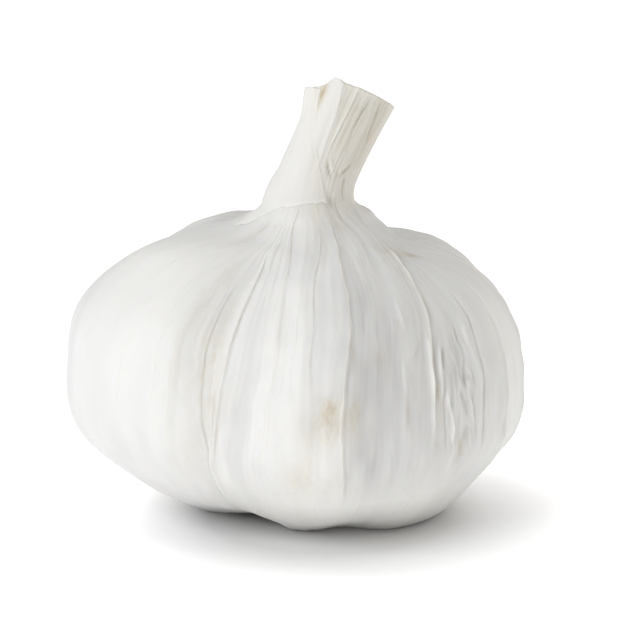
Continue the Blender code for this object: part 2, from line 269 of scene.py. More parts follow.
# Raggedness of the rim: its noises, the least share of them, and the drops over which the rest comes in
RIM_TEARS = ((70, 1.0, 0.16), (170, 1.0, 0.10))
RIM_RAGGED_LEAST = 0.15
RIM_RAGGED_DROPS = (0.05, 0.5)
# Rows of the inside of the cut neck: (inset from the rim, depth). Those past a depth are level, and the
# others follow the torn rim, at a least depth under it.
INNER_WALL = ((0.22, 0.05), (0.42, 0.5), (0.5, 2.6), (1.6, 3.2), (3.2, 3.3))
INNER_WALL_LEVEL_FROM = 1.0
INNER_WALL_LEAST_DEPTH = 0.05

# A line of the skin. A fold is a crest, or a crease where its height is below 0, with flanks that fall off
# over the left and right reaches. A layer is a sheet on the left that ends in a lip at the line. Lengths
# are in mm, stain is the strength of its brown tint, and the path is of (length down, azimuth) stations.
Line = collections.namedtuple("Line", "kind height width left right stain followed path")


def fold(height, width, left, right, stain, path, followed=False):
    """A fold of the skin. The columns of the mesh run along it where it is followed."""
    return Line("fold", height, width, left, right, stain, followed, path)


def beside(path, degrees):
    """A path of a line moved round by some degrees."""
    return tuple((down, azimuth + degrees) for down, azimuth in path)


CLOVE_EDGE = (
    (26.5, 230.8),
    (28.5, 229.2),
    (30.6, 229.5),
    (33.6, 229.8),
    (36.5, 228.2),
    (41.0, 228.2),
    (45.3, 228.5),
    (49.0, 228.0),
    (53.0, 227.2),
)
BAND_LINE = (
    (32.0, 236.4),
    (35.8, 236.0),
    (41.2, 236.0),
    (46.3, 236.2),
    (49.8, 236.6),
    (52.7, 237.2),
    (55.5, 236.4),
)
FURROW_LINE = (
    (25.2, 240.6),
    (28.6, 243.0),
    (31.9, 243.8),
    (34.5, 243.5),
    (38.5, 243.4),
    (42.6, 242.6),
    (46.0, 241.6),
    (51.0, 240.0),
    (54.9, 238.3),
)
FACE_LINE = (
    (16.5, 249.0),
    (20.8, 252.0),
    (26.0, 255.5),
    (32.6, 257.5),
    (38.5, 258.2),
    (43.4, 258.0),
    (46.0, 256.6),
    (49.8, 256.2),
    (53.5, 254.5),
)
CENTRE_LINE = (
    (17.0, 276.5),
    (18.5, 274.8),
    (21.8, 271.8),
    (28.9, 268.2),
    (35.2, 268.5),
    (38.5, 267.8),
    (43.0, 267.6),
)
KEEL = (
    (15.5, 288.0),
    (18.5, 285.5),
    (21.0, 283.0),
    (25.3, 279.5),
    (31.6, 279.5),
    (35.2, 278.8),
    (38.6, 277.8),
    (41.6, 276.8),
    (44.6, 276.0),
    (47.6, 275.5),
    (50.7, 275.5),
    (55.0, 276.2),
    (60.0, 276.6),
)
RIGHT_RIDGE = (
    (20.0, 324.0),
    (22.3, 321.0),
    (26.2, 315.8),
    (29.9, 311.2),
    (34.1, 309.0),
    (36.2, 308.0),
    (38.1, 306.2),
    (42.6, 303.8),
    (47.4, 302.8),
    (51.0, 303.4),
)
RIGHT_FURROW = (
    (34.0, 324.4),
    (37.1, 324.8),
    (40.5, 324.0),
    (43.9, 324.0),
    (48.4, 323.2),
    (52.0, 323.4),
    (54.4, 324.0),
)

FRONT_LINES = (
    # Left clove: the rolled edge of its skin, with a thread beside it
    fold(0.07, 0.06, 0.5, 0.2, 0.25, CLOVE_EDGE, followed=True),
    fold(0.04, 0.06, 0.14, 0.14, 0.1, beside(CLOVE_EDGE, 0.9)),
    # Pale brown band and the furrow between the left clove and the face
    Line("layer", 0.05, 0.08, 2.2, 0.0, 0.3, True, BAND_LINE),
    fold(0.13, 0.05, 0.30, 0.08, 0.0, FURROW_LINE, followed=True),
    fold(-0.10, 0.05, 0.08, 0.14, 0.6, beside(FURROW_LINE, 0.6)),
    # Face: fine lines and the long facets between them
    fold(0.14, 0.05, 1.6, 0.8, 0.1, FACE_LINE, followed=True),
    fold(-0.06, 0.05, 0.10, 0.12, 0.3, beside(FACE_LINE, 0.6)),
    fold(-0.06, 0.06, 0.14, 0.14, 0.2, ((49.5, 249.6), (52.0, 248.8), (55.0, 247.8))),
    fold(0.15, 0.05, 1.5, 0.3, 0.1, CENTRE_LINE, followed=True),
    fold(-0.08, 0.05, 0.10, 0.14, 0.4, beside(CENTRE_LINE, 0.6)),
    fold(0.10, 0.06, 0.5, 0.4, 0.0, ((19.0, 262.0), (24.0, 262.5), (30.0, 263.0), (36.0, 263.2))),
    # Keel of the face
    fold(0.28, 0.05, 1.6, 0.40, 0.1, KEEL, followed=True),
    fold(-0.12, 0.06, 0.12, 0.30, 0.6, beside(KEEL, 0.8)),
    # Right of the keel
    fold(
        0.14, 0.07, 0.7, 0.3, 0.1,
        ((19.0, 303.5), (20.2, 301.8), (25.1, 297.2), (30.2, 292.4), (33.8, 290.4)),
    ),
    fold(0.09, 0.06, 0.5, 0.3, 0.1, ((21.0, 292.5), (23.0, 289.8), (28.9, 288.6), (31.5, 287.6))),
    fold(-0.20, 0.08, 0.16, 0.16, 0.3, ((34.8, 288.8), (36.4, 288.2), (38.0, 287.6))),
    fold(-0.12, 0.12, 0.20, 0.20, 0.1, ((34.0, 284.6), (35.8, 283.8), (37.4, 283.0))),
    fold(0.16, 0.06, 0.16, 0.2, 0.0, ((33.6, 298.6), (35.6, 298.1), (37.3, 298.2))),
    fold(0.08, 0.07, 0.3, 0.2, 0.1, ((48.0, 295.0), (51.6, 295.5), (54.0, 295.0))),
    fold(-0.08, 0.06, 0.15, 0.15, 0.4, ((49.0, 285.0), (52.9, 285.2), (56.0, 285.0))),
    fold(-0.08, 0.06, 0.15, 0.15, 0.3, ((51.5, 289.6), (54.0, 290.6), (57.0, 292.0))),
    # Right ridge: a light crest that turns down to the wrinkles
    fold(0.24, 0.06, 0.40, 0.16, 0.1, RIGHT_RIDGE, followed=True),
    fold(0.16, 0.16, 0.14, 0.14, 0.0, ((38.2, 305.0), (41.4, 304.1), (44.2, 303.5), (46.8, 303.0))),
    fold(-0.06, 0.06, 0.10, 0.20, 0.35, beside(RIGHT_RIDGE, 1.0)),
    fold(0.14, 0.07, 0.25, 0.2, 0.0, ((26.6, 324.6), (28.6, 319.5), (30.8, 316.6), (33.3, 314.8))),
    fold(0.20, 0.07, 0.9, 0.12, 0.0, ((37.8, 303.6), (38.8, 301.4), (40.4, 297.8), (41.3, 296.4))),
    # Wrinkles
    fold(0.32, 0.09, 0.12, 0.10, 0.0, ((39.0, 309.0), (40.6, 307.7), (43.6, 306.5), (46.0, 306.0))),
    fold(-0.12, 0.06, 0.10, 0.10, 0.7, ((38.8, 306.8), (41.5, 305.7), (44.0, 305.0), (46.8, 304.4))),
    fold(-0.24, 0.06, 0.08, 0.10, 0.5, ((40.2, 309.4), (41.6, 308.6), (43.2, 308.0))),
    fold(
        -0.16, 0.06, 0.10, 0.12, 0.4,
        ((43.4, 307.9), (46.1, 306.8), (48.4, 306.4), (51.0, 307.5), (53.8, 308.7)),
    ),
    fold(
        0.34, 0.09, 0.14, 0.22, 0.0,
        ((45.0, 307.9), (46.6, 307.7), (49.2, 309.2), (51.6, 309.8), (53.0, 311.0), (55.8, 310.6)),
    ),
    fold(-0.18, 0.06, 0.12, 0.14, 0.3, ((38.0, 318.1), (40.2, 317.5), (41.9, 317.8), (43.3, 317.1))),
    fold(
        0.18, 0.09, 0.24, 0.20, 0.0,
        ((36.8, 321.6), (39.8, 320.6), (41.7, 321.0), (44.1, 321.8), (46.6, 322.0)),
    ),
    fold(
        0.32, 0.06, 0.10, 0.10, 0.0,
        ((42.4, 318.8), (43.5, 317.9), (44.4, 318.5), (45.4, 317.2), (46.8, 317.8)),
    ),
    fold(-0.10, 0.07, 0.12, 0.12, 0.3, ((43.0, 316.5), (44.4, 316.9), (45.8, 315.9))),
    fold(-0.24, 0.18, 0.24, 0.22, 0.3, ((45.6, 314.0), (46.8, 314.7), (48.0, 315.9), (49.6, 316.6))),
    fold(0.34, 0.06, 0.08, 0.10, 0.0, ((46.6, 317.3), (47.6, 317.8), (49.6, 318.5), (50.8, 319.0))),
    fold(-0.18, 0.06, 0.08, 0.14, 0.5, ((47.0, 318.3), (47.9, 318.9), (50.3, 319.9), (53.2, 321.0))),
    fold(
        0.32, 0.06, 0.10, 0.10, 0.0,
        ((50.2, 317.2), (52.0, 317.8), (53.4, 318.8), (54.5, 321.0), (55.0, 322.8)),
    ),
    fold(-0.20, 0.26, 0.30, 0.24, 0.7, ((52.2, 314.6), (53.6, 315.6), (55.6, 316.0))),
    fold(-0.12, 0.12, 0.2, 0.2, 0.1, ((49.4, 312.6), (51.0, 313.0), (52.6, 313.2))),
    fold(-0.15, 0.05, 0.08, 0.16, 0.8, RIGHT_FURROW, followed=True),
    fold(0.14, 0.07, 0.12, 0.6, 0.0, beside(RIGHT_FURROW, 0.8)),
    fold(0.10, 0.08, 0.2, 0.3, 0.0, ((47.4, 325.0), (49.6, 325.2), (52.2, 325.9))),
    fold(0.10, 0.16, 0.4, 0.5, 0.0, ((54.6, 321.4), (56.7, 318.4), (59.4, 317.0))),
    fold(-0.12, 0.08, 0.2, 0.3, 0.3, ((50.4, 333.6), (52.4, 332.4), (54.8, 332.6))),
    fold(0.16, 0.06, 0.12, 0.2, 0.0, ((41.0, 295.1), (42.8, 294.4), (44.6, 294.0))),
    # Top of the left shoulder: a crack beside the flap
    fold(-0.10, 0.07, 0.15, 0.15, 0.9, ((17.4, 221.0), (19.5, 219.4), (22.6, 218.4))),
)

# Fibres and slots of the neck
NECK_LINES = (
    fold(
        0.10, 0.05, 0.10, 0.14, 0.0,
        ((-0.5, 271.8), (2.2, 271.8), (4.2, 271.0), (6.9, 269.6), (9.8, 268.8)),
    ),
    fold(-0.10, 0.05, 0.10, 0.10, 0.5, ((0.0, 273.8), (3.0, 274.0), (6.0, 272.6), (9.0, 271.6))),
    fold(-0.10, 0.24, 0.60, 0.35, 0.25, ((-0.5, 258.0), (1.5, 260.0), (4.0, 262.5), (6.0, 264.0))),
    fold(-0.20, 0.05, 0.07, 0.09, 0.9, ((0.4, 293.0), (1.4, 292.8), (2.9, 291.2), (4.6, 290.0))),
    fold(-0.10, 0.04, 0.07, 0.08, 0.6, ((3.8, 290.4), (5.6, 291.4), (8.0, 292.4))),
    fold(-0.20, 0.05, 0.07, 0.09, 0.9, ((0.8, 310.0), (1.8, 312.6), (3.3, 316.0), (5.4, 320.2))),
    fold(-0.08, 0.04, 0.07, 0.08, 0.5, ((5.0, 320.0), (7.4, 323.0), (9.4, 322.0))),
    fold(-0.08, 0.04, 0.07, 0.08, 0.5, ((0.2, 326.0), (2.4, 332.0), (5.0, 338.0))),
    fold(0.05, 0.06, 0.16, 0.16, 0.0, ((-0.5, 284.0), (4.0, 283.5), (9.0, 286.0))),
    fold(0.06, 0.06, 0.16, 0.14, 0.0, ((-0.5, 300.0), (5.0, 304.0), (10.0, 306.0))),
    fold(-0.06, 0.04, 0.07, 0.08, 0.4, ((0.6, 280.0), (4.0, 280.4), (8.6, 281.0))),
    # Creases in a V where the neck folds over, pits under them and a light flake
    fold(-0.22, 0.06, 0.08, 0.09, 1.1, ((10.0, 274.0), (10.6, 278.0), (11.2, 284.5), (11.6, 290.0))),
    fold(0.16, 0.07, 0.10, 0.10, 0.0, ((9.6, 277.5), (10.2, 281.5), (10.9, 288.0), (11.3, 292.0))),
    fold(-0.22, 0.06, 0.08, 0.09, 1.1, ((9.0, 313.0), (9.6, 309.4), (10.4, 304.4), (11.0, 300.0))),
    fold(0.15, 0.07, 0.10, 0.10, 0.0, ((9.4, 307.0), (10.0, 302.4), (10.6, 297.0))),
    fold(-0.13, 0.05, 0.08, 0.07, 1.0, ((10.9, 309.5), (11.7, 312.4), (12.8, 314.0), (14.2, 318.0))),
    fold(0.20, 0.12, 0.12, 0.14, 0.0, ((11.6, 315.6), (12.2, 318.2), (13.1, 325.0), (13.9, 331.5))),
    fold(-0.08, 0.05, 0.08, 0.09, 0.6, ((12.4, 324.0), (13.6, 333.0), (15.4, 330.0), (18.1, 318.2))),
    fold(-0.10, 0.05, 0.09, 0.09, 0.7, ((13.6, 303.5), (14.6, 302.0), (15.6, 301.4), (17.0, 301.0))),
)

# Local dents of the skin: (azimuth, length down, depth, half-width, half-length, stain), and swellings
# below 0
DENTS = (
    (252.8, 0.5, 0.10, 0.22, 0.30, 1.5),
    (297.5, 11.0, 0.16, 0.20, 0.24, 1.0),
    (311.5, 11.4, 0.14, 0.20, 0.30, 1.1),
    (291.0, 12.4, -0.10, 0.50, 0.60, 0.0),
    (293.2, 14.4, 0.22, 0.60, 0.60, 0.5),
    (283.0, 14.4, 0.10, 0.70, 0.60, 0.2),
    (311.6, 43.9, -0.20, 0.45, 0.90, 0.0),
    (314.8, 38.8, -0.14, 0.50, 0.70, 0.0),
    (209.5, 43.0, 0.22, 3.40, 12.0, 0.0),
    (12.0, 29.5, 0.20, 0.40, 0.50, 2.5),
    (330.8, 25.2, 0.10, 0.50, 0.80, 1.0),
    (337.5, 27.4, 0.10, 0.40, 0.40, 0.7),
    (148.0, 21.5, 0.45, 2.40, 1.60, 0.3),
)

# Tints of the skin by kind: (azimuth, length down, half-width, half-length, strength)
TINTS = {
    "warm": (
        (234.2, 43.0, 2.9, 15.0, 0.42),
        (239.0, 44.5, 1.3, 9.0, 0.55),
        (229.5, 31.5, 1.2, 3.0, 0.55),
        (266.5, 56.5, 3.8, 3.2, 0.75),
        (272.0, 57.0, 2.4, 2.6, 0.5),
        (272.8, 46.8, 1.6, 2.4, 1.9),
        (278.4, 46.6, 1.1, 2.4, 1.5),
        (268.0, 48.5, 3.2, 5.5, 0.38),
        (279.4, 39.5, 0.45, 1.6, 0.9),
        (287.5, 40.0, 0.9, 1.5, 0.75),
        (304.9, 47.0, 0.5, 2.5, 0.9),
        (304.5, 52.2, 0.5, 1.2, 0.8),
        (291.0, 65.6, 6.5, 1.0, 1.0),
        (330.8, 25.2, 1.2, 1.2, 0.9),
        (321.0, 24.0, 2.6, 3.2, 0.85),
        (309.5, 31.5, 0.8, 4.0, 0.6),
        (315.5, 53.0, 1.2, 2.2, 0.6),
        (219.0, 20.0, 1.0, 3.0, 0.8),
        (295.0, 17.0, 3.4, 2.6, 0.7),
        (256.0, 17.5, 4.0, 2.2, 0.35),
        (227.5, 2.2, 0.28, 1.6, 1.6),
        (262.0, 1.8, 0.9, 2.6, 0.75),
        (282.0, 3.2, 1.2, 4.0, 0.7),
        (312.0, 3.0, 1.6, 5.0, 0.65),
        (330.0, 4.0, 2.2, 6.0, 0.55),
        (292.0, 6.0, 2.0, 5.0, 0.3),
        (272.0, 63.5, 9.0, 3.5, 1.1),
        (300.0, 63.5, 7.0, 3.5, 0.6),
        (294.5, 47.4, 0.40, 1.8, 0.8),
    ),
    # Pale tints, mostly painted light: the underside at the front and patches of the face and the sides are
    # painted lighter
    "pale_and_painted_light": (
        (262.0, 62.5, 6.0, 4.5, 1.4),
        (282.0, 63.0, 6.0, 4.5, 1.5),
        (304.0, 62.5, 6.0, 4.5, 1.4),
        (206.0, 27.0, 9.0, 7.0, 0.9),
        (338.0, 41.0, 5.0, 7.0, 0.7),
        (219.0, 38.0, 3.5, 9.0, 0.5),
        (256.0, 33.0, 5.0, 8.0, 0.5),
        (252.0, 17.6, 2.6, 1.8, 0.9),
    ),
    # Grey tints: lilac-grey patches of the skin, and painted shade on the shaded right of the face, in a pit
    # at the neck and on the shoulder beside the flap
    "grey_and_painted_shade": (
        (296.0, 52.0, 7.0, 11.0, 0.6),
        (322.0, 49.0, 6.0, 8.0, 0.3),
        (204.0, 56.0, 11.0, 8.0, 0.5),
        (245.0, 52.0, 5.0, 6.0, 0.35),
        (293.0, 14.6, 0.8, 0.8, 0.9),
        (281.5, 52.8, 2.6, 4.6, 0.9),
        (283.0, 43.0, 1.8, 3.6, 0.6),
        (285.5, 33.0, 1.6, 4.0, 0.55),
        (310.3, 50.4, 0.5, 2.4, 0.8),
        (264.0, 24.5, 2.4, 4.0, 0.5),
        (247.0, 41.0, 2.6, 8.0, 0.35),
        (150.0, 22.2, 3.6, 1.8, 1.3),
        (193.0, 43.0, 2.6, 12.0, 0.55),
        (174.0, 24.0, 5.0, 3.0, 0.35),
    ),
    "under_sheath": (
        (224.5, 2.4, 0.7, 1.8, 3.2),
    ),
}
# Patches that the tints come and go in, as noises
TINT_PATCHES = ((90, 3.2, 0.45), (210, 6.0, 0.35))

# Ridges of the skin on the sides and back, spread evenly with a seeded stray
BACK_RIDGES_FROM = 336.0
BACK_RIDGES_TO = 528.0
BACK_RIDGE_COUNT = 13
BACK_RIDGE_STRAY = 0.25
BACK_RIDGE_HEIGHTS = (0.22, 0.42)
BACK_RIDGE_LOWEST = (4.0, 8.0)
BACK_RIDGE_HIGHEST = (31.0, 36.0)
BACK_RIDGE_WAVE = 0.9
BACK_RIDGE_FLANKS = (0.4, 1.4)
BACK_RIDGE_STATIONS = 7
BACK_RIDGE_WIDTH = 0.14
BACK_RIDGE_STAIN = 0.25
# Crease beside each of them: degrees from it, share of its height, and its own width, flanks and stain
BACK_CREASE_BESIDE = 1.2
BACK_CREASE_SHARE = -0.4
BACK_CREASE_WIDTH = 0.10
BACK_CREASE_FLANK = 0.25
BACK_CREASE_STAIN = 0.4

# Share of a line's height that comes and goes along it, the degrees it wanders, and the length and the
# share of its own length over which it fades at its ends
LINE_STRAY = 0.5
LINE_WANDER = 0.10
LINE_FADE = 0.9
LINE_FADE_SHARE = 0.1
# Waves along a line: radians per mm of a long and a short one, with the share of the short one's height or
# phase. Their phases are radians per degree of the line's first azimuth, so that no two lines are alike.
WANDER_WAVES = (0.9, 2.3, 0.6)
WANDER_PHASE = 1.7
STRAY_WAVES = ((0.55, 1.0), (1.35, 1.7))
STRAY_PHASE = 3.1
# Strength of the painted highlight on crests and the painted shade in creases, and how far past a line's
# width its painted shade and stain go
CREST_HIGHLIGHT_SHARE = 2.6
SHADE_SHARE = 2.2
SHADE_REACH = 0.10
STAIN_REACH = 0.07
STAIN_WIDTHS = 0.8
# Lip of a layer and the crease past it: share of its height, place and half-width in widths of the line
LIP_SHARE = 0.55
LIP_AT = -1.5
LIP_REACH = 2.4
CREASE_SHARE = 0.55
CREASE_AT = 1.9
CREASE_REACH = 1.9

# Papery relief of the skin as noises, the swirl of its grain in degrees, and the lengths down where it ends
PAPER_WAVES = (
    (22, 14.0, 0.10),
    (46, 11.0, 0.055),
    (97, 16.0, 0.040),
    (190, 9.0, 0.020),
)
PAPER_SWIRL = ((12, 12.0, 1.5),)
PAPER_END = (76.0, 70.0)
# Ribs in that relief, where veins run under the skin
RIB_CELLS = 74
RIB_LENGTH = 22.0
RIB_HEIGHT = 0.06
RIB_SHARPNESS = 5.0
# Strips of skin that overlap along the grain: (cells round the bulb, length of a cell, step in height,
# painted shade of the lower strip), the share of a cell over which a strip gives way to the next, the
# degrees from one set to the next, and how strong they are by azimuth and length down
STRIPS = ((58, 15.0, 0.05, 0.24), (131, 9.0, 0.03, 0.15))
STRIP_EDGE = 0.16
STRIP_SHIFT = 3.0
STRIP_STRENGTH = (
    (0, 0.8),
    (100, 0.8),
    (160, 0.4),
    (205, 0.25),
    (228, 0.6),
    (245, 1.0),
    (300, 1.0),
    (335, 0.7),
)
STRIP_SPAN = (15.0, 19.0, 50.0, 66.0)
# How strong the streaks of colour are, by azimuth
STREAKY = ((0, 1.0), (150, 1.0), (180, 0.5), (218, 0.4), (234, 1.0), (300, 1.0))
# Crumpled skin in the furrow at the right: its place as (azimuth, length down), its half-sizes and its
# relief, with the strength of the painted highlight on its peaks and the painted shade in its hollows
CRUMPLE_AT = (314.5, 46.0)
CRUMPLE_HALF = (7.5, 8.5)
CRUMPLES = ((420, 2.6, 0.11), (250, 4.0, 0.15))
CRUMPLE_HIGHLIGHT_AND_SHADE = 1.1
CRUMPLE_SWIRL = ((90, 3.0, 0.7),)
# Pleats of the skin on the shoulders
PLEAT_CELLS = 33
PLEAT_LENGTH = 12.0
PLEAT_HEIGHT = 0.11
PLEAT_SPAN = (17.0, 22.0, 30.0, 42.0)
# Fibres of the neck as noises, how rough they are by azimuth, and the lengths down where the neck ends
NECK_FIBRES = ((47, 12.0, 0.05), (113, 9.0, 0.05), (190, 6.0, 0.025))
NECK_ROUGH = ((0, 1.0), (60, 0.8), (120, 0.45), (180, 0.2), (225, 0.2), (250, 0.5), (275, 1.0), (320, 1.0))
NECK_SPAN = (13.5, 17.5)
# Lengths down at which all relief ends in the hollow, and past which no place may be under the floor
RELIEF_END = (77.0, 71.0)
UNDERSIDE_FROM = 60.0
# Brown tint inside the cut neck and at the top of the hollow
INNER_WARM = 1.2
HOLLOW_WARM = 0.5

# Torn sheaths round the neck. Their left edge is an azimuth, the right one a path of (length down,
# azimuth), and the top and bottom ones are of (azimuth, length down). The lift is that of the outer face
# off the smooth skin, and the flap is 1 for the sheath that swells and hangs at the left, and 0 for the one
# under it.
Sheath = collections.namedtuple("Sheath", "name left right top bottom lift flap")
OUTER_SHEATH = Sheath(
    name="outer_neck_sheath",
    left=126.0,
    right=(
        (-1.0, 217.0),
        (2.0, 219.0),
        (3.9, 224.2),
        (6.5, 236.0),
        (9.0, 251.0),
        (11.5, 272.0),
        (13.5, 285.0),
        (15.4, 292.0),
    ),
    top=(
        (120, 3.6),
        (128, 3.3),
        (150, 2.7),
        (180, 2.35),
        (205, 2.1),
        (218, 1.9),
        (226, 1.8),
        (232, 2.0),
        (290, 2.2),
    ),
    bottom=(
        (120, 15.4),
        (135, 16.0),
        (150, 17.2),
        (165, 19.2),
        (176, 20.2),
        (184, 20.2),
        (190, 19.5),
        (195, 18.4),
        (201, 17.3),
        (210, 16.6),
        (219, 16.1),
        (243, 15.3),
        (266, 14.9),
        (280, 14.6),
        (294, 14.4),
    ),
    lift=0.05,
    flap=1.0,
)
INNER_SHEATH = Sheath(
    name="inner_neck_sheath",
    left=150.0,
    right=(
        (-1.5, 249.0),
        (0.0, 250.0),
        (2.0, 254.0),
        (4.0, 258.0),
        (8.0, 262.0),
        (12.0, 268.0),
        (14.5, 272.0),
    ),
    top=(
        (145, 2.3),
        (180, 2.3),
        (200, 1.9),
        (215, 1.6),
        (226, 1.1),
        (234, 0.2),
        (240, -0.25),
        (246, -0.05),
        (252, 0.3),
        (290, 0.6),
    ),
    bottom=((145, 13.0), (180, 13.6), (230, 14.0), (290, 14.0)),
    lift=0.01,
    flap=0.0,
)
SHEATHS = (OUTER_SHEATH, INNER_SHEATH)
# Rows and columns of a sheath, and the rounds and the length down from which they settle between its edges
SHEATH_GRID = (92, 168)
SHEATH_GRID_ROUNDS = 5
SHEATH_MIDDLE = 8.0
SHEATH_THICKNESS = 0.10
# Thickness of a sheath's edges as a share, and the reach over which it becomes full
SHEATH_EDGE_THIN = (0.2, 0.6)
# Height of the seated edges off the skin, and the reach over which a sheath rises from them
SHEATH_EDGE_LIFT = 0.012
SHEATH_EDGE_REACH = 0.9
# Where the outer sheath swells off the neck: its height, its (middle, half-width) round the neck, and its
# reach from the top or its (middle, half-length) down the neck
SHEATH_TOP_SWELL = 0.66
SHEATH_TOP_AROUND = (188.0, 42.0)
SHEATH_TOP_REACH = 3.8
SHEATH_FOOT_SWELL = 0.55
SHEATH_FOOT_AROUND = (188.0, 50.0)
SHEATH_FOOT_DOWN = (14.4, 2.5)
# Ragged edges: mm for a tear of 1, the tears of the bottom edge, the share of them at the top, and the
# tears of the right edge in degrees, which run down it at some degrees per mm
SHEATH_RAGGED = 0.16
SHEATH_TEARS = ((80, 1.0, 1.0), (190, 1.0, 0.5))
SHEATH_TOP_RAGGED = 0.6
SHEATH_RIGHT_TEARS = ((30, 1.7, 3.0),)
SHEATH_RIGHT_TURN = 40
# Waves and top curl of a sheath, whose fibres turn by some degrees per mm down it
SHEATH_WAVES = ((26, 14.0, 0.05), (64, 9.0, 0.03), (150, 7.0, 0.012))
SHEATH_CURL = ((16, 30.0, 0.024),)
SHEATH_TWIST = 0.9
SHEATH_GRAIN_RADIUS = 9.0
# Colour of the sheaths: how streaky they are, how pale at their foot, as painted light against the shade
# under that edge, and over what reach, and how cream
SHEATH_STREAKY = 0.5
SHEATH_FOOT_PAINTED_LIGHT = 0.6
SHEATH_FOOT_PAINTED_LIGHT_REACH = 0.5
OUTER_CREAM = 0.35
OUTER_EDGE_CREAM = 0.90
OUTER_CREAM_REACH = (3.2, 0.2)
INNER_CREAM = 0.7
# Skin under the sheaths: how far it is sunk, how far inside their edges, and where its relief ends
SKIN_UNDER_SHEATHS = 0.24
SHEATH_SEAT = (0.25, 1.1)
SHEATH_LEVELS = (-0.9, 0.0)
# Flap of the outer sheath: from a length down it hangs straight to its bottom edge
FLAP_AZIMUTH = 186.0
FLAP_HALF_WIDTH = 34.0
FLAP_FROM = 16.0

# Cut end of the neck: papery rings round a woody middle, as (radius, half-thickness, height above the cut)
CUT_RINGS = (
    (4.55, 0.16, -0.05),
    (4.0, 0.14, -0.22),
    (3.5, 0.15, 0.02),
    (2.95, 0.13, -0.30),
    (2.45, 0.16, -0.10),
)
# Section of a ring as (half-thicknesses out, height), and the gap outside it, of which every second is deeper
CUT_RING_SECTION = ((1.05, -0.12), (0.7, 0.0), (-0.7, 0.0), (-1.05, -0.12))
CUT_GAP_OUT = 2.0
CUT_GAP_DEPTH = 0.75
CUT_GAP_DEEPER = 0.25
# The woody middle: its radius, the gap round it, its dome, its lowered edge, and shares of its radius
CUT_CORE_RADIUS = 2.0
CUT_CORE_GAP = 0.12
CUT_CORE_DOME = 0.18
CUT_CORE_EDGE = 0.25
CUT_CORE_EDGE_SHARES = (0.85, 1.0)
CUT_CORE_ROWS = (1.0, 0.93, 0.8, 0.62, 0.42, 0.2)
CUT_COLUMNS = 180
# Closed underside of the cut end: its depth, its inner radius, and its inset from the outermost gap
CUT_BASE_DEPTH = 4.0
CUT_BASE_INNER = 0.4
CUT_BASE_INSET = 0.1
# Waves of the rings' radius and raggedness of their height as noises, and the radii over which they come in
CUT_WAVE = ((9, 1.0, 0.16),)
CUT_WAVE_RADII = (0.8, 2.4)
CUT_RAGGED = ((24, 1.0, 0.22),)
CUT_FINE_RAGGED = ((80, 1.0, 0.10),)
CUT_RAGGED_RADII = (0.4, 2.2)
CUT_TORN_RADII = (2.2, 4.7)

# Root plate under the bulb: its size, the turn of its round edge, its innermost rows, and its grid
PLATE_RADIUS = 8.4
PLATE_LOW = 1.6
PLATE_HIGH = 3.0
PLATE_ROUND = 0.4
PLATE_EDGE_TURN = 80
PLATE_TOP_INNERMOST = 0.5
PLATE_FOOT_INNERMOST = 0.4
PLATE_COLUMNS = 150
PLATE_TOP_RINGS = 8
PLATE_EDGE_RINGS = 9
PLATE_RINGS = 34
# Its crumbled underside and ragged edge as noises, and its ripples: height, radians per mm and sway
PLATE_CRUMBS = ((34, 0.625, 0.10), (90, 0.625, 0.06))
PLATE_RAGGED = ((40, 0.8, 0.25),)
PLATE_RAGGED_FROM = 6.5
PLATE_RIPPLE = 0.07
PLATE_RIPPLE_TURN = 6.0
PLATE_RIPPLE_SWAY = ((12, 3.0, 2.0),)
# Stubs of the trimmed roots, in rings of (radius, count), and how far they stray from their places as shares
ROOT_RINGS = ((6.8, 19), (4.7, 13), (2.6, 7), (0.6, 2))
ROOT_STRAY_ROUND = 0.2
ROOT_STRAY_OUT = (0.95, 1.05)
# A stub: its girth, its taper, how deep it is sunk in the plate, the height of its tip, its lean and its grid
ROOT_RADIUS = 0.48
ROOT_GIRTHS = (0.8, 1.2)
ROOT_TAPER = 0.85
ROOT_SUNK = 0.6
ROOT_TIPS = (0.35, 0.9)
ROOT_SPLAY = 12.0
ROOT_SPLAY_STRAY = 4.0
ROOT_SIDES = 9
ROOT_ROWS = 7
# Its crumbled face: height in metres, and cells per metre
ROOT_CRUMBLE = 0.00012
ROOT_CRUMBS = 1800.0

# Papery fibres raised on the skin: their height in metres, and noise cells per mm across and along the grain
FIBRE_HEIGHT = 0.00006
FIBRE_ACROSS = 0.9
FIBRE_ALONG = 0.10
# They grow with the radius to a full one, and end at the sheaths, in the hollow and at the floor
FIBRE_FULL_RADIUS = 26.0
FIBRE_GROWTH = 1.6
FIBRE_SHEATH_END = (0.1, -0.3)
FIBRE_HOLLOW_END = (76.0, 71.0)
FIBRE_FLOOR_END = (0.05, 0.6)

# Threads along lines of the skin and the neck: (path, degrees beside it, girth in mm)
THREADS = (
    (CLOVE_EDGE, -0.35, 0.045),
    (CLOVE_EDGE, 0.6, 0.030),
    (BAND_LINE, 0.0, 0.030),
    (FURROW_LINE, -0.25, 0.055),
    (FACE_LINE, -0.35, 0.040),
    (CENTRE_LINE, -0.35, 0.040),
    (KEEL, -0.1, 0.060),
    (RIGHT_RIDGE, 0.0, 0.060),
    (RIGHT_FURROW, 1.3, 0.050),
    (((0.4, 271.9), (4.0, 270.8), (8.8, 268.8), (10.0, 268.1)), 0.0, 0.055),
    (((0.8, 300.5), (5.0, 304.0), (9.6, 306.0)), 0.0, 0.030),
    (((0.6, 283.0), (5.0, 285.0), (8.6, 286.0)), 0.0, 0.030),
)
THREAD_STEP = 0.45
THREAD_SIDES = 6
# How far a thread is sunk in shares of its girth, and how far off the skin the rays that find its place start
THREAD_SUNK = 0.35
THREAD_RAY = 3.0
# Stray of a thread's girth in two waves of radians per mm, how soon it is full, and what its ends keep
THREAD_STRAY = 0.35
THREAD_WAVES = (2.1, 0.7)
THREAD_TAPER = 8
THREAD_END = 0.02
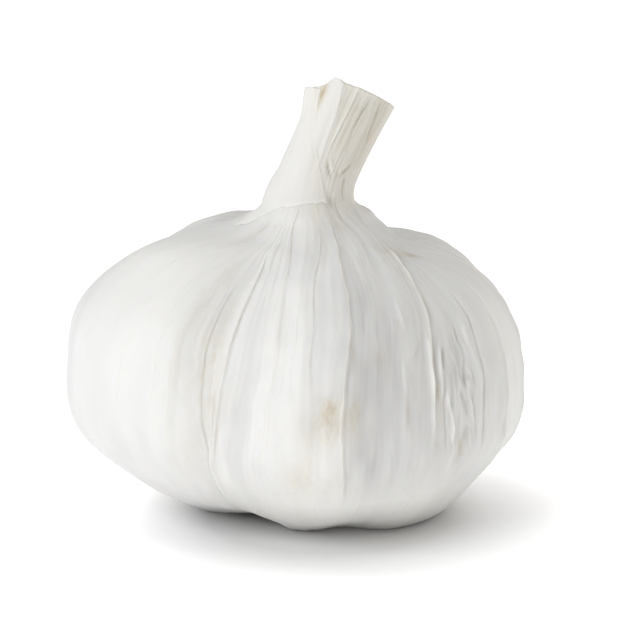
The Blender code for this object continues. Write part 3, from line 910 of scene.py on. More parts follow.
# Fine veins all round the skin: their count, their stray in shares of their distance, spans and waves
VEIN_COUNT = 72
VEIN_STRAY = 0.4
VEIN_FROM = (17.0, 34.0)
VEIN_LENGTHS = (8.0, 26.0)
VEIN_LAST = 64.0
VEIN_SWAY = 0.5
VEIN_WAVES = (0.35, 1.1, 0.4)
VEIN_PHASES = (0, 6)
VEIN_GIRTHS = (0.014, 0.028)

# Rows of the skin as (from, to, spacing) in mm down, and how near a row may come to the next stretch of them
ROW_SPACING = (
    (0.0, 2.4, 0.30),
    (2.4, 9.0, 0.66),
    (9.0, 20.0, 0.34),
    (20.0, 38.0, 0.67),
    (38.0, 56.0, 0.46),
    (56.0, 73.0, 0.86),
    (73.0, 78.5, 0.60),
)
ROWS_CLEAR = 0.01
# Columns of the skin, and how wide the gaps between them are by azimuth, in proportion to each other
COLUMNS = 640
COLUMN_GAPS = (
    (0, 1.1),
    (90, 1.3),
    (180, 1.0),
    (205, 0.62),
    (240, 0.50),
    (299, 0.42),
    (304, 0.26),
    (326, 0.26),
    (331, 0.60),
    (345, 0.9),
)
# Columns beside a followed line, in widths of it, and the lengths down over which the columns start and stop
# running along the lines
MARKS_PER_LINE = (0.0, 0.5, 1.1, 2.0, 3.4)
FOLLOW_FROM = (12.0, 20.0)
FOLLOW_TO = (74.0, 66.0)

# Rows of the table of a noise and the row it starts at, steps of the skin's slopes, and a least length
NOISE_ROWS = 64
NOISE_START = 8
NUDGE_DOWN = 0.05
NUDGE_ROUND = 0.2
TINY = 1e-9


def smooth_step(low, high, x):
    """0 below low, 1 above high, and a smooth climb between them. low may be the larger."""
    t = np.clip((x - low) / (high - low), 0, 1)
    return t * t * (3 - 2 * t)


def hump(x, middle, half_width):
    """1 at the middle, falling smoothly to 0 at the half-width."""
    t = np.minimum(1.0, np.abs(x - middle) / half_width)
    return (1 - t * t) ** 2


def turn_between(a, b):
    """Degrees from azimuth b to azimuth a, the short way."""
    return (a - b + 180) % 360 - 180


def cubic(before, start, end, after, t):
    """Catmull-Rom curve from start to end."""
    return 0.5 * (
        2 * start
        + (end - before) * t
        + (2 * before - 5 * start + 4 * end - after) * t * t
        + (3 * start - before - 3 * end + after) * t * t * t
    )


def around(stations, azimuth):
    """Values at azimuths on the smooth closed curve through (azimuth, value) stations."""
    at, value = np.array(stations, float).T
    turned = (azimuth - at[0]) % 360 + at[0]
    i = np.searchsorted(at, turned, side="right") - 1
    after = (i + 1) % len(at)
    t = (turned - at[i]) / ((at[after] - at[i]) % 360)
    return cubic(value[i - 1], value[i], value[after], value[(i + 2) % len(at)], t)


def smooth_line(points, per_span):
    """The points of a smooth open curve through the given ones."""
    path = np.array(points, float)
    path = np.vstack([2 * path[0] - path[1], path, 2 * path[-1] - path[-2]])
    t = np.arange(per_span)[:, None] / per_span
    line = [cubic(*path[i - 1 : i + 3], t) for i in range(1, len(path) - 2)]
    return np.vstack([*line, path[-2:-1]])


SIDE = smooth_line(SIDE_STATIONS, ROWS_PER_STATION)
SIDE_LENGTH = np.concatenate([[0], np.cumsum(np.hypot(*np.diff(SIDE, axis=0).T))])
SIDE_END = SIDE_LENGTH[-1]


def noise(azimuth, down, cells, length, seed, edge=1.0):
    """Noise from -1 to 1: a number of cells round the bulb, and one for each length down it. A cell changes
    to the next one round over a share of its width."""
    table = np.random.default_rng([SEED, seed]).uniform(-1, 1, (cells, NOISE_ROWS))
    u = azimuth / 360 * cells
    v = down / length + NOISE_START
    i, j = np.floor(u).astype(int), np.floor(v).astype(int)
    s, t = u - i, v - j
    s, t = smooth_step(1 - edge, 1, s), t * t * (3 - 2 * t)
    this, after = i % cells, (i + 1) % cells
    row, below = j % NOISE_ROWS, (j + 1) % NOISE_ROWS
    low = table[this, row] * (1 - t) + table[this, below] * t
    high = table[after, row] * (1 - t) + table[after, below] * t
    return low * (1 - s) + high * s


def waves(azimuth, down, noises, seed):
    """The sum of noises of (cells, length, height), with seeds that count up."""
    total = 0.0
    for number, (cells, length, height) in enumerate(noises):
        total = total + height * noise(azimuth, down, cells, length, seed + number)
    return total


def two_waves(down, phase, slow, quick, share):
    """A long wave down the skin and a share of a short one."""
    return np.sin(down * slow + phase) + share * np.sin(down * quick + 2 * phase)


def unit(vectors):
    """The vectors at a length of 1."""
    return vectors / np.maximum(np.linalg.norm(vectors, axis=-1, keepdims=True), TINY)


def side_at(down):
    """Radius and height of the mean side at lengths down it."""
    return np.interp(down, SIDE_LENGTH, SIDE[:, 0]), np.interp(down, SIDE_LENGTH, SIDE[:, 1])


def lobe_offset(azimuth, height):
    """How far the cloves carry the skin out from the mean at a height."""
    at_foot = around(FOOT_RADIUS, azimuth) - MEAN_FOOT_RADIUS
    at_crest = around(GIRTH, azimuth) - MEAN_RADIUS
    climb = np.clip(height / FOOT_HEIGHT, 0, 1)
    low = around(LOW_BELLY, azimuth) * hump(height, *LOW_BELLY_AT)
    high = around(HIGH_BELLY, azimuth) * hump(height, *HIGH_BELLY_AT)
    return at_crest + (at_foot - at_crest) * (1 - climb) ** FOOT_ROUNDING + low + high


def furrow_offset(azimuth, height):
    """How far in the furrows between the cloves draw the skin."""
    out = 0.0
    for at, depth, half_width in FURROWS:
        off = turn_between(azimuth, at) / half_width
        out = out - depth * np.exp(-off * off) * smooth_step(*FURROW_TOP, height)
    return out


def bent(x, y, height):
    """Places on the upright neck, carried over by its lean."""
    rise = np.maximum(0.0, height - NECK_FOOT)
    lean = math.radians(NECK_LEAN)
    turn = lean * np.minimum(1.0, rise / NECK_BEND_LENGTH)
    radius = NECK_BEND_LENGTH / lean
    past = np.maximum(0.0, rise - NECK_BEND_LENGTH)
    along = radius * np.sin(turn) + past * math.cos(lean)
    over = radius * (1 - np.cos(turn)) + past * math.sin(lean)
    towards = math.radians(NECK_LEANS_TOWARDS)
    heading_x, heading_y = math.cos(towards), math.sin(towards)
    ahead = x * heading_x + y * heading_y
    aside = y * heading_x - x * heading_y
    ahead_now = ahead * np.cos(turn) + over
    height_now = np.where(height > NECK_FOOT, NECK_FOOT + along - ahead * np.sin(turn), height)
    return (
        ahead_now * heading_x - aside * heading_y,
        ahead_now * heading_y + aside * heading_x,
        height_now,
    )


def in_space(radius, height, azimuth):
    """Places at a radius and height about the bulb, with the neck's flattening, bend and offset."""
    in_neck = smooth_step(NECK_FROM, NECK_FULL, height)
    turn = np.radians(azimuth)
    depth = 1 + (NECK_DEPTH_TO_WIDTH - 1) * in_neck
    x, y, z = bent(radius * np.cos(turn), radius * np.sin(turn) * depth, height)
    return np.stack([x + NECK_OFFSET * in_neck, y, z], -1)


def grown(azimuth, down):
    """Radius and height of the skin at an azimuth and a length down the mean side."""
    radius, height = side_at(down)
    azimuth = azimuth + 0 * radius
    in_lobes = smooth_step(LOBES_FROM_RADIUS, LOBES_FULL_RADIUS, radius)
    out = radius + lobe_offset(azimuth, height) * in_lobes
    out = out + furrow_offset(azimuth, height) * smooth_step(*FURROW_RADII, radius)
    out = out + around(NECK_FLARE, azimuth) * hump(height, *NECK_FLARE_AT)
    square = around(SHOULDER_SQUARE, azimuth)
    push = SHOULDER_PUSH * square * hump(radius, *SHOULDER_PUSH_AT)
    sink = SHOULDER_SINK * square * hump(radius, *SHOULDER_SINK_AT)
    rise = (height - CREST_HEIGHT) * around(SHOULDER_RISE, azimuth) * in_lobes
    under = smooth_step(*FOOT_INNER, radius) * smooth_step(*FOOT_OUTER, radius)
    lift = (np.maximum(0.0, around(FOOT_LIFT, azimuth)) - FLAT_SPOT_DEPTH) * under
    lowered = np.where(radius > HOLLOW_RADIUS, np.maximum(0.0, height + lift), height)
    upper = height > CREST_HEIGHT
    return np.where(upper, out + push, out), np.where(upper, height + rise + push - sink, lowered)


def skin_place(azimuth, down, out=0.0, sunk=0.0):
    """Places on the smooth skin, moved out from the axis and sunk by some mm before the neck bends."""
    radius, height = grown(azimuth, down)
    return in_space(radius + out, height - sunk, azimuth)


def skin_normal(azimuth, down):
    """Outward normals of the smooth skin."""
    round_it = skin_place(azimuth + NUDGE_ROUND, down) - skin_place(azimuth - NUDGE_ROUND, down)
    down_it = skin_place(azimuth, down + NUDGE_DOWN) - skin_place(azimuth, down - NUDGE_DOWN)
    return unit(np.cross(down_it, round_it))


def rim_drop(azimuth, down):
    """How far down the torn rim of the neck takes a place."""
    torn = around(RIM_DROP, azimuth)
    grows = smooth_step(*RIM_RAGGED_DROPS, torn)
    ragged = waves(azimuth, down * 0, RIM_TEARS, seed=90)
    ragged = ragged * (RIM_RAGGED_LEAST + (1 - RIM_RAGGED_LEAST) * grows)
    return (torn + ragged) * smooth_step(RIM_FADE, 0.0, down)


def line_azimuth(path, down):
    """Azimuth of a line's path at lengths down the skin, with its wander."""
    line = smooth_line(path, STEPS_PER_STATION)
    base = np.interp(down, line[:, 0], line[:, 1])
    return base + LINE_WANDER * two_waves(down, path[0][1] * WANDER_PHASE, *WANDER_WAVES)


def line_presence(line, down):
    """Share of a line's height at lengths down the skin: it fades at both ends and comes and goes between."""
    first, last = line.path[0][0], line.path[-1][0]
    length = last - first
    fade = min(LINE_FADE + LINE_FADE_SHARE * length, length / 3)
    starts = smooth_step(first - fade / 2, first + fade, down)
    stops = smooth_step(last + fade / 2, last - fade, down)
    phase = line.path[0][1] * STRAY_PHASE
    stray = sum(np.sin(down * turn + shift * phase) for turn, shift in STRAY_WAVES) / len(STRAY_WAVES)
    return starts * stops * (1 + LINE_STRAY * stray)


def line_profile(line, across):
    """Relief of a line at a distance across it, for a height of 1."""
    if line.kind == "layer":
        sheet = smooth_step(line.width, -line.width, across)
        plateau = np.exp(np.minimum(0.0, across) / line.left)
        lip = hump(across, LIP_AT * line.width, LIP_REACH * line.width)
        crease = hump(across, CREASE_AT * line.width, CREASE_REACH * line.width)
        return sheet * plateau + LIP_SHARE * lip - CREASE_SHARE * crease
    flank = np.where(across < 0, line.left, line.right)
    return np.exp(-(np.sqrt(across * across + line.width * line.width) - line.width) / flank)


def down_at(height):
    """Length down the mean side at which it is at a height."""
    turn = int(np.argmin(SIDE[:, 1]))
    return np.interp(height, SIDE[: turn + 1, 1][::-1], SIDE_LENGTH[: turn + 1][::-1])


def back_ridges():
    """Ridges of the skin on the sides and back, each with a crease beside it."""
    draw, sway = random.Random(SEED), np.random.default_rng(SEED)
    step = (BACK_RIDGES_TO - BACK_RIDGES_FROM) / (BACK_RIDGE_COUNT - 1)
    flank, stain = BACK_CREASE_FLANK, BACK_CREASE_STAIN
    ridges = []
    for i in range(BACK_RIDGE_COUNT):
        stray = draw.uniform(-BACK_RIDGE_STRAY, BACK_RIDGE_STRAY)
        azimuth = (BACK_RIDGES_FROM + step * (i + stray)) % 360
        height = draw.uniform(*BACK_RIDGE_HEIGHTS)
        lowest, highest = draw.uniform(*BACK_RIDGE_LOWEST), draw.uniform(*BACK_RIDGE_HIGHEST)
        downs = np.linspace(down_at(highest), down_at(lowest), BACK_RIDGE_STATIONS)
        azimuths = azimuth + BACK_RIDGE_WAVE * sway.uniform(-1, 1, BACK_RIDGE_STATIONS)
        path = tuple(zip(downs.tolist(), azimuths.tolist()))
        left, right = sway.uniform(*BACK_RIDGE_FLANKS, 2)
        ridges.append(fold(height, BACK_RIDGE_WIDTH, left, right, BACK_RIDGE_STAIN, path, followed=True))
        crease = beside(path, sway.choice([-BACK_CREASE_BESIDE, BACK_CREASE_BESIDE]))
        ridges.append(fold(BACK_CREASE_SHARE * height, BACK_CREASE_WIDTH, flank, flank, stain, crease))
    return tuple(ridges)


LINES = FRONT_LINES + NECK_LINES + back_ridges()


def neck_share(down):
    """1 on the neck and 0 on the body, by length down the skin."""
    return smooth_step(NECK_SPAN[1], NECK_SPAN[0], down)


def sheath_right(sheath, down):
    """Azimuth of a sheath's right edge at lengths down the neck."""
    path = smooth_line(sheath.right, STEPS_PER_STATION)
    return np.interp(down, path[:, 0], path[:, 1])


def sheath_end(stations, azimuth):
    """Length down of a sheath's top or bottom edge at azimuths."""
    path = smooth_line(stations, STEPS_PER_STATION)
    return np.interp(azimuth, path[:, 0], path[:, 1])


def inside_sheath(azimuth, down, radius):
    """How far inside the edges of the outer sheath or the one under it a place is, in mm."""
    right = np.maximum(*[sheath_right(sheath, down) for sheath in SHEATHS])
    from_left = np.radians(azimuth - OUTER_SHEATH.left) * radius
    from_right = np.radians(right - azimuth) * radius
    from_bottom = sheath_end(OUTER_SHEATH.bottom, azimuth) - down
    return np.minimum(np.minimum(from_left, from_right), from_bottom)


def papery_relief(home, down):
    """Waves, ribs and pleats that follow the grain of the skin."""
    swirl = home + waves(home, down, PAPER_SWIRL, seed=30)
    out = waves(swirl, down, PAPER_WAVES, seed=0)
    rib = 1 - np.abs(noise(swirl, down, RIB_CELLS, RIB_LENGTH, seed=11))
    out = out + RIB_HEIGHT * rib**RIB_SHARPNESS
    fresh, full, ebb, gone = PLEAT_SPAN
    pleated = smooth_step(fresh, full, down) * smooth_step(gone, ebb, down)
    pleat = 1 - 2 * np.abs(noise(home, down, PLEAT_CELLS, PLEAT_LENGTH, seed=12))
    out = out + PLEAT_HEIGHT * pleat * pleated
    return out * (1 - neck_share(down)) * smooth_step(*PAPER_END, down)


def strips(home, down):
    """Relief and painted shade of the strips of skin that overlap along the grain: a lower strip is painted
    darker.
    """
    relief, shade = 0.0, 0.0
    for number, (cells, length, height, dark) in enumerate(STRIPS):
        value = noise(home + STRIP_SHIFT * number, down, cells, length, seed=92 + number, edge=STRIP_EDGE)
        relief = relief + height * value
        shade = shade - dark * value
    fresh, full, ebb, gone = STRIP_SPAN
    shown = smooth_step(fresh, full, down) * smooth_step(gone, ebb, down)
    strength = shown * around(STRIP_STRENGTH, home)
    return relief * strength, shade * strength


def crumpled(azimuth, down):
    """Sharp small folds of the crumpled skin in the furrow at the right."""
    across = turn_between(azimuth, CRUMPLE_AT[0]) / CRUMPLE_HALF[0]
    along = (down - CRUMPLE_AT[1]) / CRUMPLE_HALF[1]
    swirl = azimuth + waves(azimuth, down, CRUMPLE_SWIRL, seed=33)
    out = 0.0
    for number, (cells, length, height) in enumerate(CRUMPLES):
        out = out + height * (1 - 2 * np.abs(noise(swirl, down, cells, length, seed=34 + number)))
    return out * np.exp(-(across**2 + along**2) ** 2)


def neck_relief(azimuth, down):
    """Fibres of the neck, rough at the right and nearly smooth at the left."""
    return waves(azimuth, down, NECK_FIBRES, seed=20) * around(NECK_ROUGH, azimuth) * neck_share(down)


def line_relief(azimuth, down, radius):
    """Relief, stain, painted highlight on crests and painted shade in creases of all the lines and dents."""
    out, stain, pale_and_painted_light, shade = (0.0 * radius for _ in range(4))
    for line in LINES:
        across = np.radians(turn_between(azimuth, line_azimuth(line.path, down))) * radius
        presence = line_presence(line, down)
        out += line.height * line_profile(line, across) * presence
        stain += line.stain * presence * np.exp(-np.abs(across) / (STAIN_WIDTHS * line.width + STAIN_REACH))
        close = presence * np.exp(-((across / (line.width + SHADE_REACH)) ** 2))
        # Painted highlight: crests are painted paler. Painted shade: creases are painted darker.
        pale_and_painted_light += max(0.0, line.height) * close
        shade += max(0.0, -line.height) * close
    for at, level, depth, half_width, half_length, tint in DENTS:
        across = np.radians(turn_between(azimuth, at)) * radius / half_width
        along = (down - level) / half_length
        inside = np.exp(-(across * across + along * along))
        out -= depth * inside
        stain += tint * inside
    return out, stain, CREST_HIGHLIGHT_SHARE * pale_and_painted_light, SHADE_SHARE * shade


def tint_of(kind, azimuth, down, radius):
    """Strength of the tints of one kind. All but the pale ones, which are partly painted light, come and go
    in patches.
    """
    strength = 0.0 * radius
    for at, level, half_width, half_length, strong in TINTS[kind]:
        across = np.radians(turn_between(azimuth, at)) * radius / half_width
        along = (down - level) / half_length
        strength += strong * np.exp(-(across**2 + along**2))
    if kind == "pale_and_painted_light":
        return strength
    return strength * (1 + waves(azimuth, down, TINT_PATCHES, seed=40))


def skin_rows():
    """Lengths down of the rows of the skin."""
    parts = [np.arange(low, high - ROWS_CLEAR, step) for low, high, step in ROW_SPACING]
    return np.concatenate([*parts, [SIDE_END]])


def middle_azimuth(line):
    """Azimuth of the station in the middle of a line's path."""
    return line.path[len(line.path) // 2][1]


FOLLOWED_LINES = [line for line in LINES if line.followed]
FOLLOWED_LINES.sort(key=lambda line: middle_azimuth(line) % 360)


def column_homes():
    """Home azimuths of the columns: some beside each followed line, and the rest spread over the gaps."""
    marks = []
    for line in FOLLOWED_LINES:
        middle = middle_azimuth(line)
        for mark in MARKS_PER_LINE:
            offset = math.degrees(mark * line.width / MEAN_RADIUS)
            marks += [middle - offset, middle + offset] if mark else [middle]
    homes = sorted(mark % 360 for mark in marks)
    allowed_at, allowed = np.array(COLUMN_GAPS).T
    while len(homes) < COLUMNS:
        edges = np.array(homes + [homes[0] + 360])
        gaps = np.diff(edges)
        middles = (edges[:-1] + gaps / 2) % 360
        worst = int(np.argmax(gaps / np.interp(middles, allowed_at, allowed, period=360)))
        homes.insert(worst + 1, homes[worst] + gaps[worst] / 2)
    return np.array(sorted(home % 360 for home in homes))


def followed_azimuths(homes, rows):
    """Azimuth of each column in each row, so that the columns run along the followed lines."""
    line_homes = [middle_azimuth(line) % 360 for line in FOLLOWED_LINES]
    shifts = [line_azimuth(line.path, rows) - middle_azimuth(line) for line in FOLLOWED_LINES]
    settled = smooth_step(*FOLLOW_FROM, rows) * smooth_step(*FOLLOW_TO, rows)
    azimuths = []
    for shift, share in zip(np.stack(shifts, -1), settled):
        azimuths.append(homes + share * np.interp(homes, line_homes, shift, period=360))
    return np.stack(azimuths)


# Building of meshes


def axis_offset():
    """Where the bulb's axis is in the frame, in metres."""
    low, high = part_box("root_plate")
    middle = (low + high) / 2
    return np.array([middle.x, middle.y, 0.0])


AXIS = axis_offset()


def in_frame(points):
    """Points in mm about the bulb's axis as places in the frame, in metres."""
    return np.asarray(points, float) * MM + AXIS


def mesh_from(name, points, faces):
    """A smooth mesh object from points in mm and its faces."""
    mesh = bpy.data.meshes.new(name)
    mesh.from_pydata(in_frame(points).tolist(), [], faces)
    mesh.polygons.foreach_set("use_smooth", [True] * len(mesh.polygons))
    mesh.update()
    obj = bpy.data.objects.new(name, mesh)
    bpy.context.scene.collection.objects.link(obj)
    return obj


def quads(rows, columns, wrap):
    """Faces of a grid of points whose rows run round and whose columns run down, seen from outside."""
    index = np.arange(rows * columns).reshape(rows, columns)
    right = np.roll(index, -1, 1) if wrap else index[:, 1:]
    left = index if wrap else index[:, :-1]
    faces = np.stack([left[:-1], left[1:], right[1:], right[:-1]], -1)
    return faces.reshape(-1, 4).tolist()


def closed_tube(name, grid, first, last, upward=False):
    """A closed mesh from rows of points that run round and go down, or up, with a point at each end."""
    rows, columns = grid.shape[:2]
    faces = quads(rows, columns, wrap=True)
    first_index, last_index = rows * columns, rows * columns + 1
    last_row = (rows - 1) * columns
    for i in range(columns):
        after = (i + 1) % columns
        faces.append((first_index, i, after))
        faces.append((last_index, last_row + after, last_row + i))
    if upward:
        faces = [face[::-1] for face in faces]
    return mesh_from(name, np.vstack([grid.reshape(-1, 3), first, last]), faces)


def store(obj, name, values, kind="FLOAT"):
    """Writes an attribute of the points of a mesh object."""
    made = obj.data.attributes.new(name=name, type=kind, domain="POINT")
    key = "vector" if kind == "FLOAT_VECTOR" else "value"
    made.data.foreach_set(key, np.asarray(values, np.float32).ravel())


def grain_at(home, down):
    """Coordinates for the grain of the skin: round the bulb at its crest and along its side, in mm."""
    turn = np.radians(home)
    return np.stack([MEAN_RADIUS * np.cos(turn), MEAN_RADIUS * np.sin(turn), down], -1)


def skin_relief(azimuth, home, down, radius, inside):
    """Relief of the skin off the smooth one, and the strengths of its stain, of its paleness and painted
    highlight, and of its painted shade.
    """
    lines, stain, pale_and_painted_light, shade = line_relief(azimuth, down, radius)
    stripped, strip_shade = strips(home, down)
    crumple = crumpled(azimuth, down)
    # Painted highlight on the crumples' peaks and painted shade in their hollows
    pale_and_painted_light += CRUMPLE_HIGHLIGHT_AND_SHADE * np.maximum(0.0, crumple)
    shade += CRUMPLE_HIGHLIGHT_AND_SHADE * np.maximum(0.0, -crumple)
    relief = lines + stripped + papery_relief(home, down) + neck_relief(azimuth, down) + crumple
    relief *= 1 - smooth_step(*SHEATH_LEVELS, inside)
    relief -= SKIN_UNDER_SHEATHS * smooth_step(*SHEATH_SEAT, inside)
    return relief * smooth_step(*RELIEF_END, down), stain, pale_and_painted_light, shade + strip_shade


def inner_wall(azimuth, down):
    """Rows of the inside of the cut neck, from its floor up to the rim."""
    rows = []
    for inset, depth in reversed(INNER_WALL):
        deeper = np.full_like(down, depth) if depth > INNER_WALL_LEVEL_FROM else down + depth
        rows.append(skin_place(azimuth, np.maximum(deeper, down + INNER_WALL_LEAST_DEPTH), out=-inset))
    return np.array(rows)


def whole_skin():
    """The bulb's skin in one closed mesh, from inside the cut neck to the top of the hollow."""
    rows, homes = skin_rows(), column_homes()
    azimuth = followed_azimuths(homes, rows)
    home = np.broadcast_to(homes, azimuth.shape)
    level = np.broadcast_to(rows[:, None], azimuth.shape)
    down = level + rim_drop(azimuth, level)
    radius, _ = grown(azimuth, down)
    inside = inside_sheath(azimuth, down, radius)
    relief, stain, pale_and_painted_light, shade = skin_relief(azimuth, home, down, radius, inside)
    surface = skin_place(azimuth, down) + skin_normal(azimuth, down) * relief[..., None]
    height = surface[..., 2]
    surface[..., 2] = np.where(down > UNDERSIDE_FROM, np.maximum(height, 0.0), height)
    wall = inner_wall(azimuth[0], down[0])
    grid = np.concatenate([wall, surface])
    skin = closed_tube("bulb_skin", grid, wall[0].mean(0), [0, 0, HOLLOW_TOP])
    grain = grain_at(home, down)
    inner_grain = np.broadcast_to(grain[0], wall.shape)
    grains = np.concatenate([inner_grain, grain]).reshape(-1, 3)
    store(skin, "grain", np.vstack([grains, [0, 0, 0], [0, 0, SIDE_END]]), "FLOAT_VECTOR")
    fibrous = np.clip(radius / FIBRE_FULL_RADIUS, 0, 1) ** FIBRE_GROWTH
    fibrous *= smooth_step(*FIBRE_SHEATH_END, inside)
    fibrous *= smooth_step(*FIBRE_HOLLOW_END, down) * smooth_step(*FIBRE_FLOOR_END, surface[..., 2])
    place = (azimuth, down, radius)
    # The grey values carry painted shade as well as grey patches, and the pale ones painted highlight and
    # painted light as well as paler skin
    for name, values, in_neck, in_hollow in (
        ("warm", stain + tint_of("warm", *place), INNER_WARM, HOLLOW_WARM),
        ("grey_and_painted_shade", shade + tint_of("grey_and_painted_shade", *place), 0.0, 0.0),
        ("pale_and_painted_light", pale_and_painted_light + tint_of("pale_and_painted_light", *place), 0.0, 0.0),
        ("neck", neck_share(down), 1.0, 0.0),
        ("fibrous", fibrous, 0.0, 0.0),
        ("streaky", around(STREAKY, azimuth), 1.0, 1.0),
    ):
        on_wall = np.full(wall[..., 0].size, in_neck)
        store(skin, name, np.concatenate([on_wall, values.ravel(), [in_neck, in_hollow]]))
    return skin


def sheath_grid(sheath):
    """Azimuths and lengths down of a grid over a sheath, between its ragged edges."""
    rows, columns = SHEATH_GRID
    across = np.linspace(0, 1, columns)[None, :]
    along = np.linspace(0, 1, rows)[:, None]
    down = SHEATH_MIDDLE + 0 * (across + along)
    for _ in range(SHEATH_GRID_ROUNDS):
        torn = SHEATH_RAGGED * waves(down * SHEATH_RIGHT_TURN, down, SHEATH_RIGHT_TEARS, seed=50)
        azimuth = sheath.left + (sheath_right(sheath, down) + torn - sheath.left) * across
        ragged = SHEATH_RAGGED * waves(azimuth, 0 * down, SHEATH_TEARS, seed=51)
        top = sheath_end(sheath.top, azimuth) + SHEATH_TOP_RAGGED * ragged
        bottom = sheath_end(sheath.bottom, azimuth) + ragged
        down = top + (bottom - top) * along
    return azimuth, down


def sheath_lift(sheath, azimuth, down, from_right, from_bottom, from_top):
    """How far the outer face of a sheath is off the smooth skin. The outer sheath swells off the neck at its
    top and foot, and the right and bottom edges of both are seated on the skin."""
    rises = smooth_step(0.0, SHEATH_EDGE_REACH, from_right)
    lift = SHEATH_EDGE_LIFT + (sheath.lift - SHEATH_EDGE_LIFT) * rises
    foot = hump(azimuth, *SHEATH_FOOT_AROUND) * hump(down, *SHEATH_FOOT_DOWN)
    top = hump(azimuth, *SHEATH_TOP_AROUND) * smooth_step(SHEATH_TOP_REACH, 0.0, from_top)
    lift += (SHEATH_FOOT_SWELL * foot + SHEATH_TOP_SWELL * top) * sheath.flap
    lift += smooth_step(SHEATH_EDGE_REACH, 0.0, from_top) * waves(azimuth, down, SHEATH_CURL, seed=53)
    lift += waves(azimuth - SHEATH_TWIST * down, down, SHEATH_WAVES, seed=54)
    seated = smooth_step(0.0, SHEATH_EDGE_REACH, np.minimum(from_right, from_bottom))
    return SHEATH_EDGE_LIFT + (lift - SHEATH_EDGE_LIFT) * seated


def sheath_place(sheath, azimuth, down, bottom, lift):
    """Places on the outer face of a sheath, whose flap hangs straight to its bottom edge."""
    base = skin_place(azimuth, down)
    start, end = skin_place(azimuth, 0 * down + FLAP_FROM), skin_place(azimuth, bottom)
    share = np.clip((down - FLAP_FROM) / (bottom - FLAP_FROM), 0, 1)[..., None]
    straight = start * (1 - share) + end * share
    hangs = hump(azimuth, FLAP_AZIMUTH, FLAP_HALF_WIDTH) * smooth_step(FLAP_FROM - 1, FLAP_FROM, down)
    hangs = sheath.flap * hangs[..., None]
    return base + (straight - base) * hangs + skin_normal(azimuth, down) * lift[..., None]


def neck_sheath(sheath):
    """One torn sheath: a thin sheet over the neck, thinner at its edges, with a flap where it has one."""
    azimuth, down = sheath_grid(sheath)
    radius, _ = grown(azimuth, down)
    bottom = sheath_end(sheath.bottom, azimuth)
    from_right = np.radians(sheath_right(sheath, down) - azimuth) * radius
    from_bottom = bottom - down
    from_top = down - sheath_end(sheath.top, azimuth)
    lift = sheath_lift(sheath, azimuth, down, from_right, from_bottom, from_top)
    place = sheath_place(sheath, azimuth, down, bottom, lift)
    edge = np.minimum(np.minimum(from_right, from_bottom), from_top)
    thinnest, reach = SHEATH_EDGE_THIN
    thickness = SHEATH_THICKNESS * (thinnest + (1 - thinnest) * smooth_step(0.0, reach, edge))
    piece = thin_sheet(sheath.name, place, thickness[..., None])
    turn = np.radians(azimuth - SHEATH_TWIST * down)
    grain = np.stack([SHEATH_GRAIN_RADIUS * np.cos(turn), SHEATH_GRAIN_RADIUS * np.sin(turn), down], -1)
    store(piece, "grain", np.tile(grain.reshape(-1, 3), (2, 1)), "FLOAT_VECTOR")
    at_edge = smooth_step(*OUTER_CREAM_REACH, from_right)
    outer_cream = OUTER_CREAM + (OUTER_EDGE_CREAM - OUTER_CREAM) * at_edge
    for name, values in (
        ("warm", (1 - sheath.flap) * tint_of("under_sheath", azimuth, down, radius)),
        ("grey_and_painted_shade", 0 * down),
        ("streaky", 0 * down + SHEATH_STREAKY),
        # Painted light: the foot of a sheath is painted paler against the shade under its edge
        ("pale_and_painted_light", SHEATH_FOOT_PAINTED_LIGHT * smooth_step(SHEATH_FOOT_PAINTED_LIGHT_REACH, 0.0, from_bottom)),
        ("neck", outer_cream * sheath.flap + (1 - sheath.flap) * INNER_CREAM),
    ):
        store(piece, name, np.tile(values.ravel(), 2))
    return piece


def thin_sheet(name, place, thickness):
    """A closed sheet from a grid of places on its outer face."""
    rows, columns = place.shape[:2]
    normal = unit(np.cross(np.gradient(place, axis=0), np.gradient(place, axis=1)))
    count = rows * columns
    points = np.vstack([place.reshape(-1, 3), (place - normal * thickness).reshape(-1, 3)])
    outer = quads(rows, columns, wrap=False)
    inner = [[count + corner for corner in reversed(face)] for face in outer]
    index = np.arange(count).reshape(rows, columns)
    border = [*index[0, :-1], *index[:-1, -1], *index[-1, :0:-1], *index[:0:-1, 0]]
    after = [*border[1:], border[0]]
    rim = [(int(a), int(b), int(b) + count, int(a) + count) for a, b in zip(border, after)]
    return mesh_from(name, points, [*outer, *inner, *rim])


def cut_profile():
    """Stations of the cut end from its outside to its middle: (radius, height above the cut, ring number)."""
    stations = []
    for number, (radius, half, height) in enumerate(CUT_RINGS):
        gap = -CUT_GAP_DEPTH - CUT_GAP_DEEPER * (number % 2)
        stations.append((radius + CUT_GAP_OUT * half, gap, number))
        for out, rise in CUT_RING_SECTION:
            stations.append((radius + out * half, height + rise, number))
    core = len(CUT_RINGS)
    stations.append((CUT_CORE_RADIUS + CUT_CORE_GAP, -CUT_GAP_DEPTH, core))
    for share in CUT_CORE_ROWS:
        dome = CUT_CORE_DOME * (1 - share * share)
        height = dome - CUT_CORE_EDGE * smooth_step(*CUT_CORE_EDGE_SHARES, share)
        stations.append((CUT_CORE_RADIUS * share, height, core))
    return stations


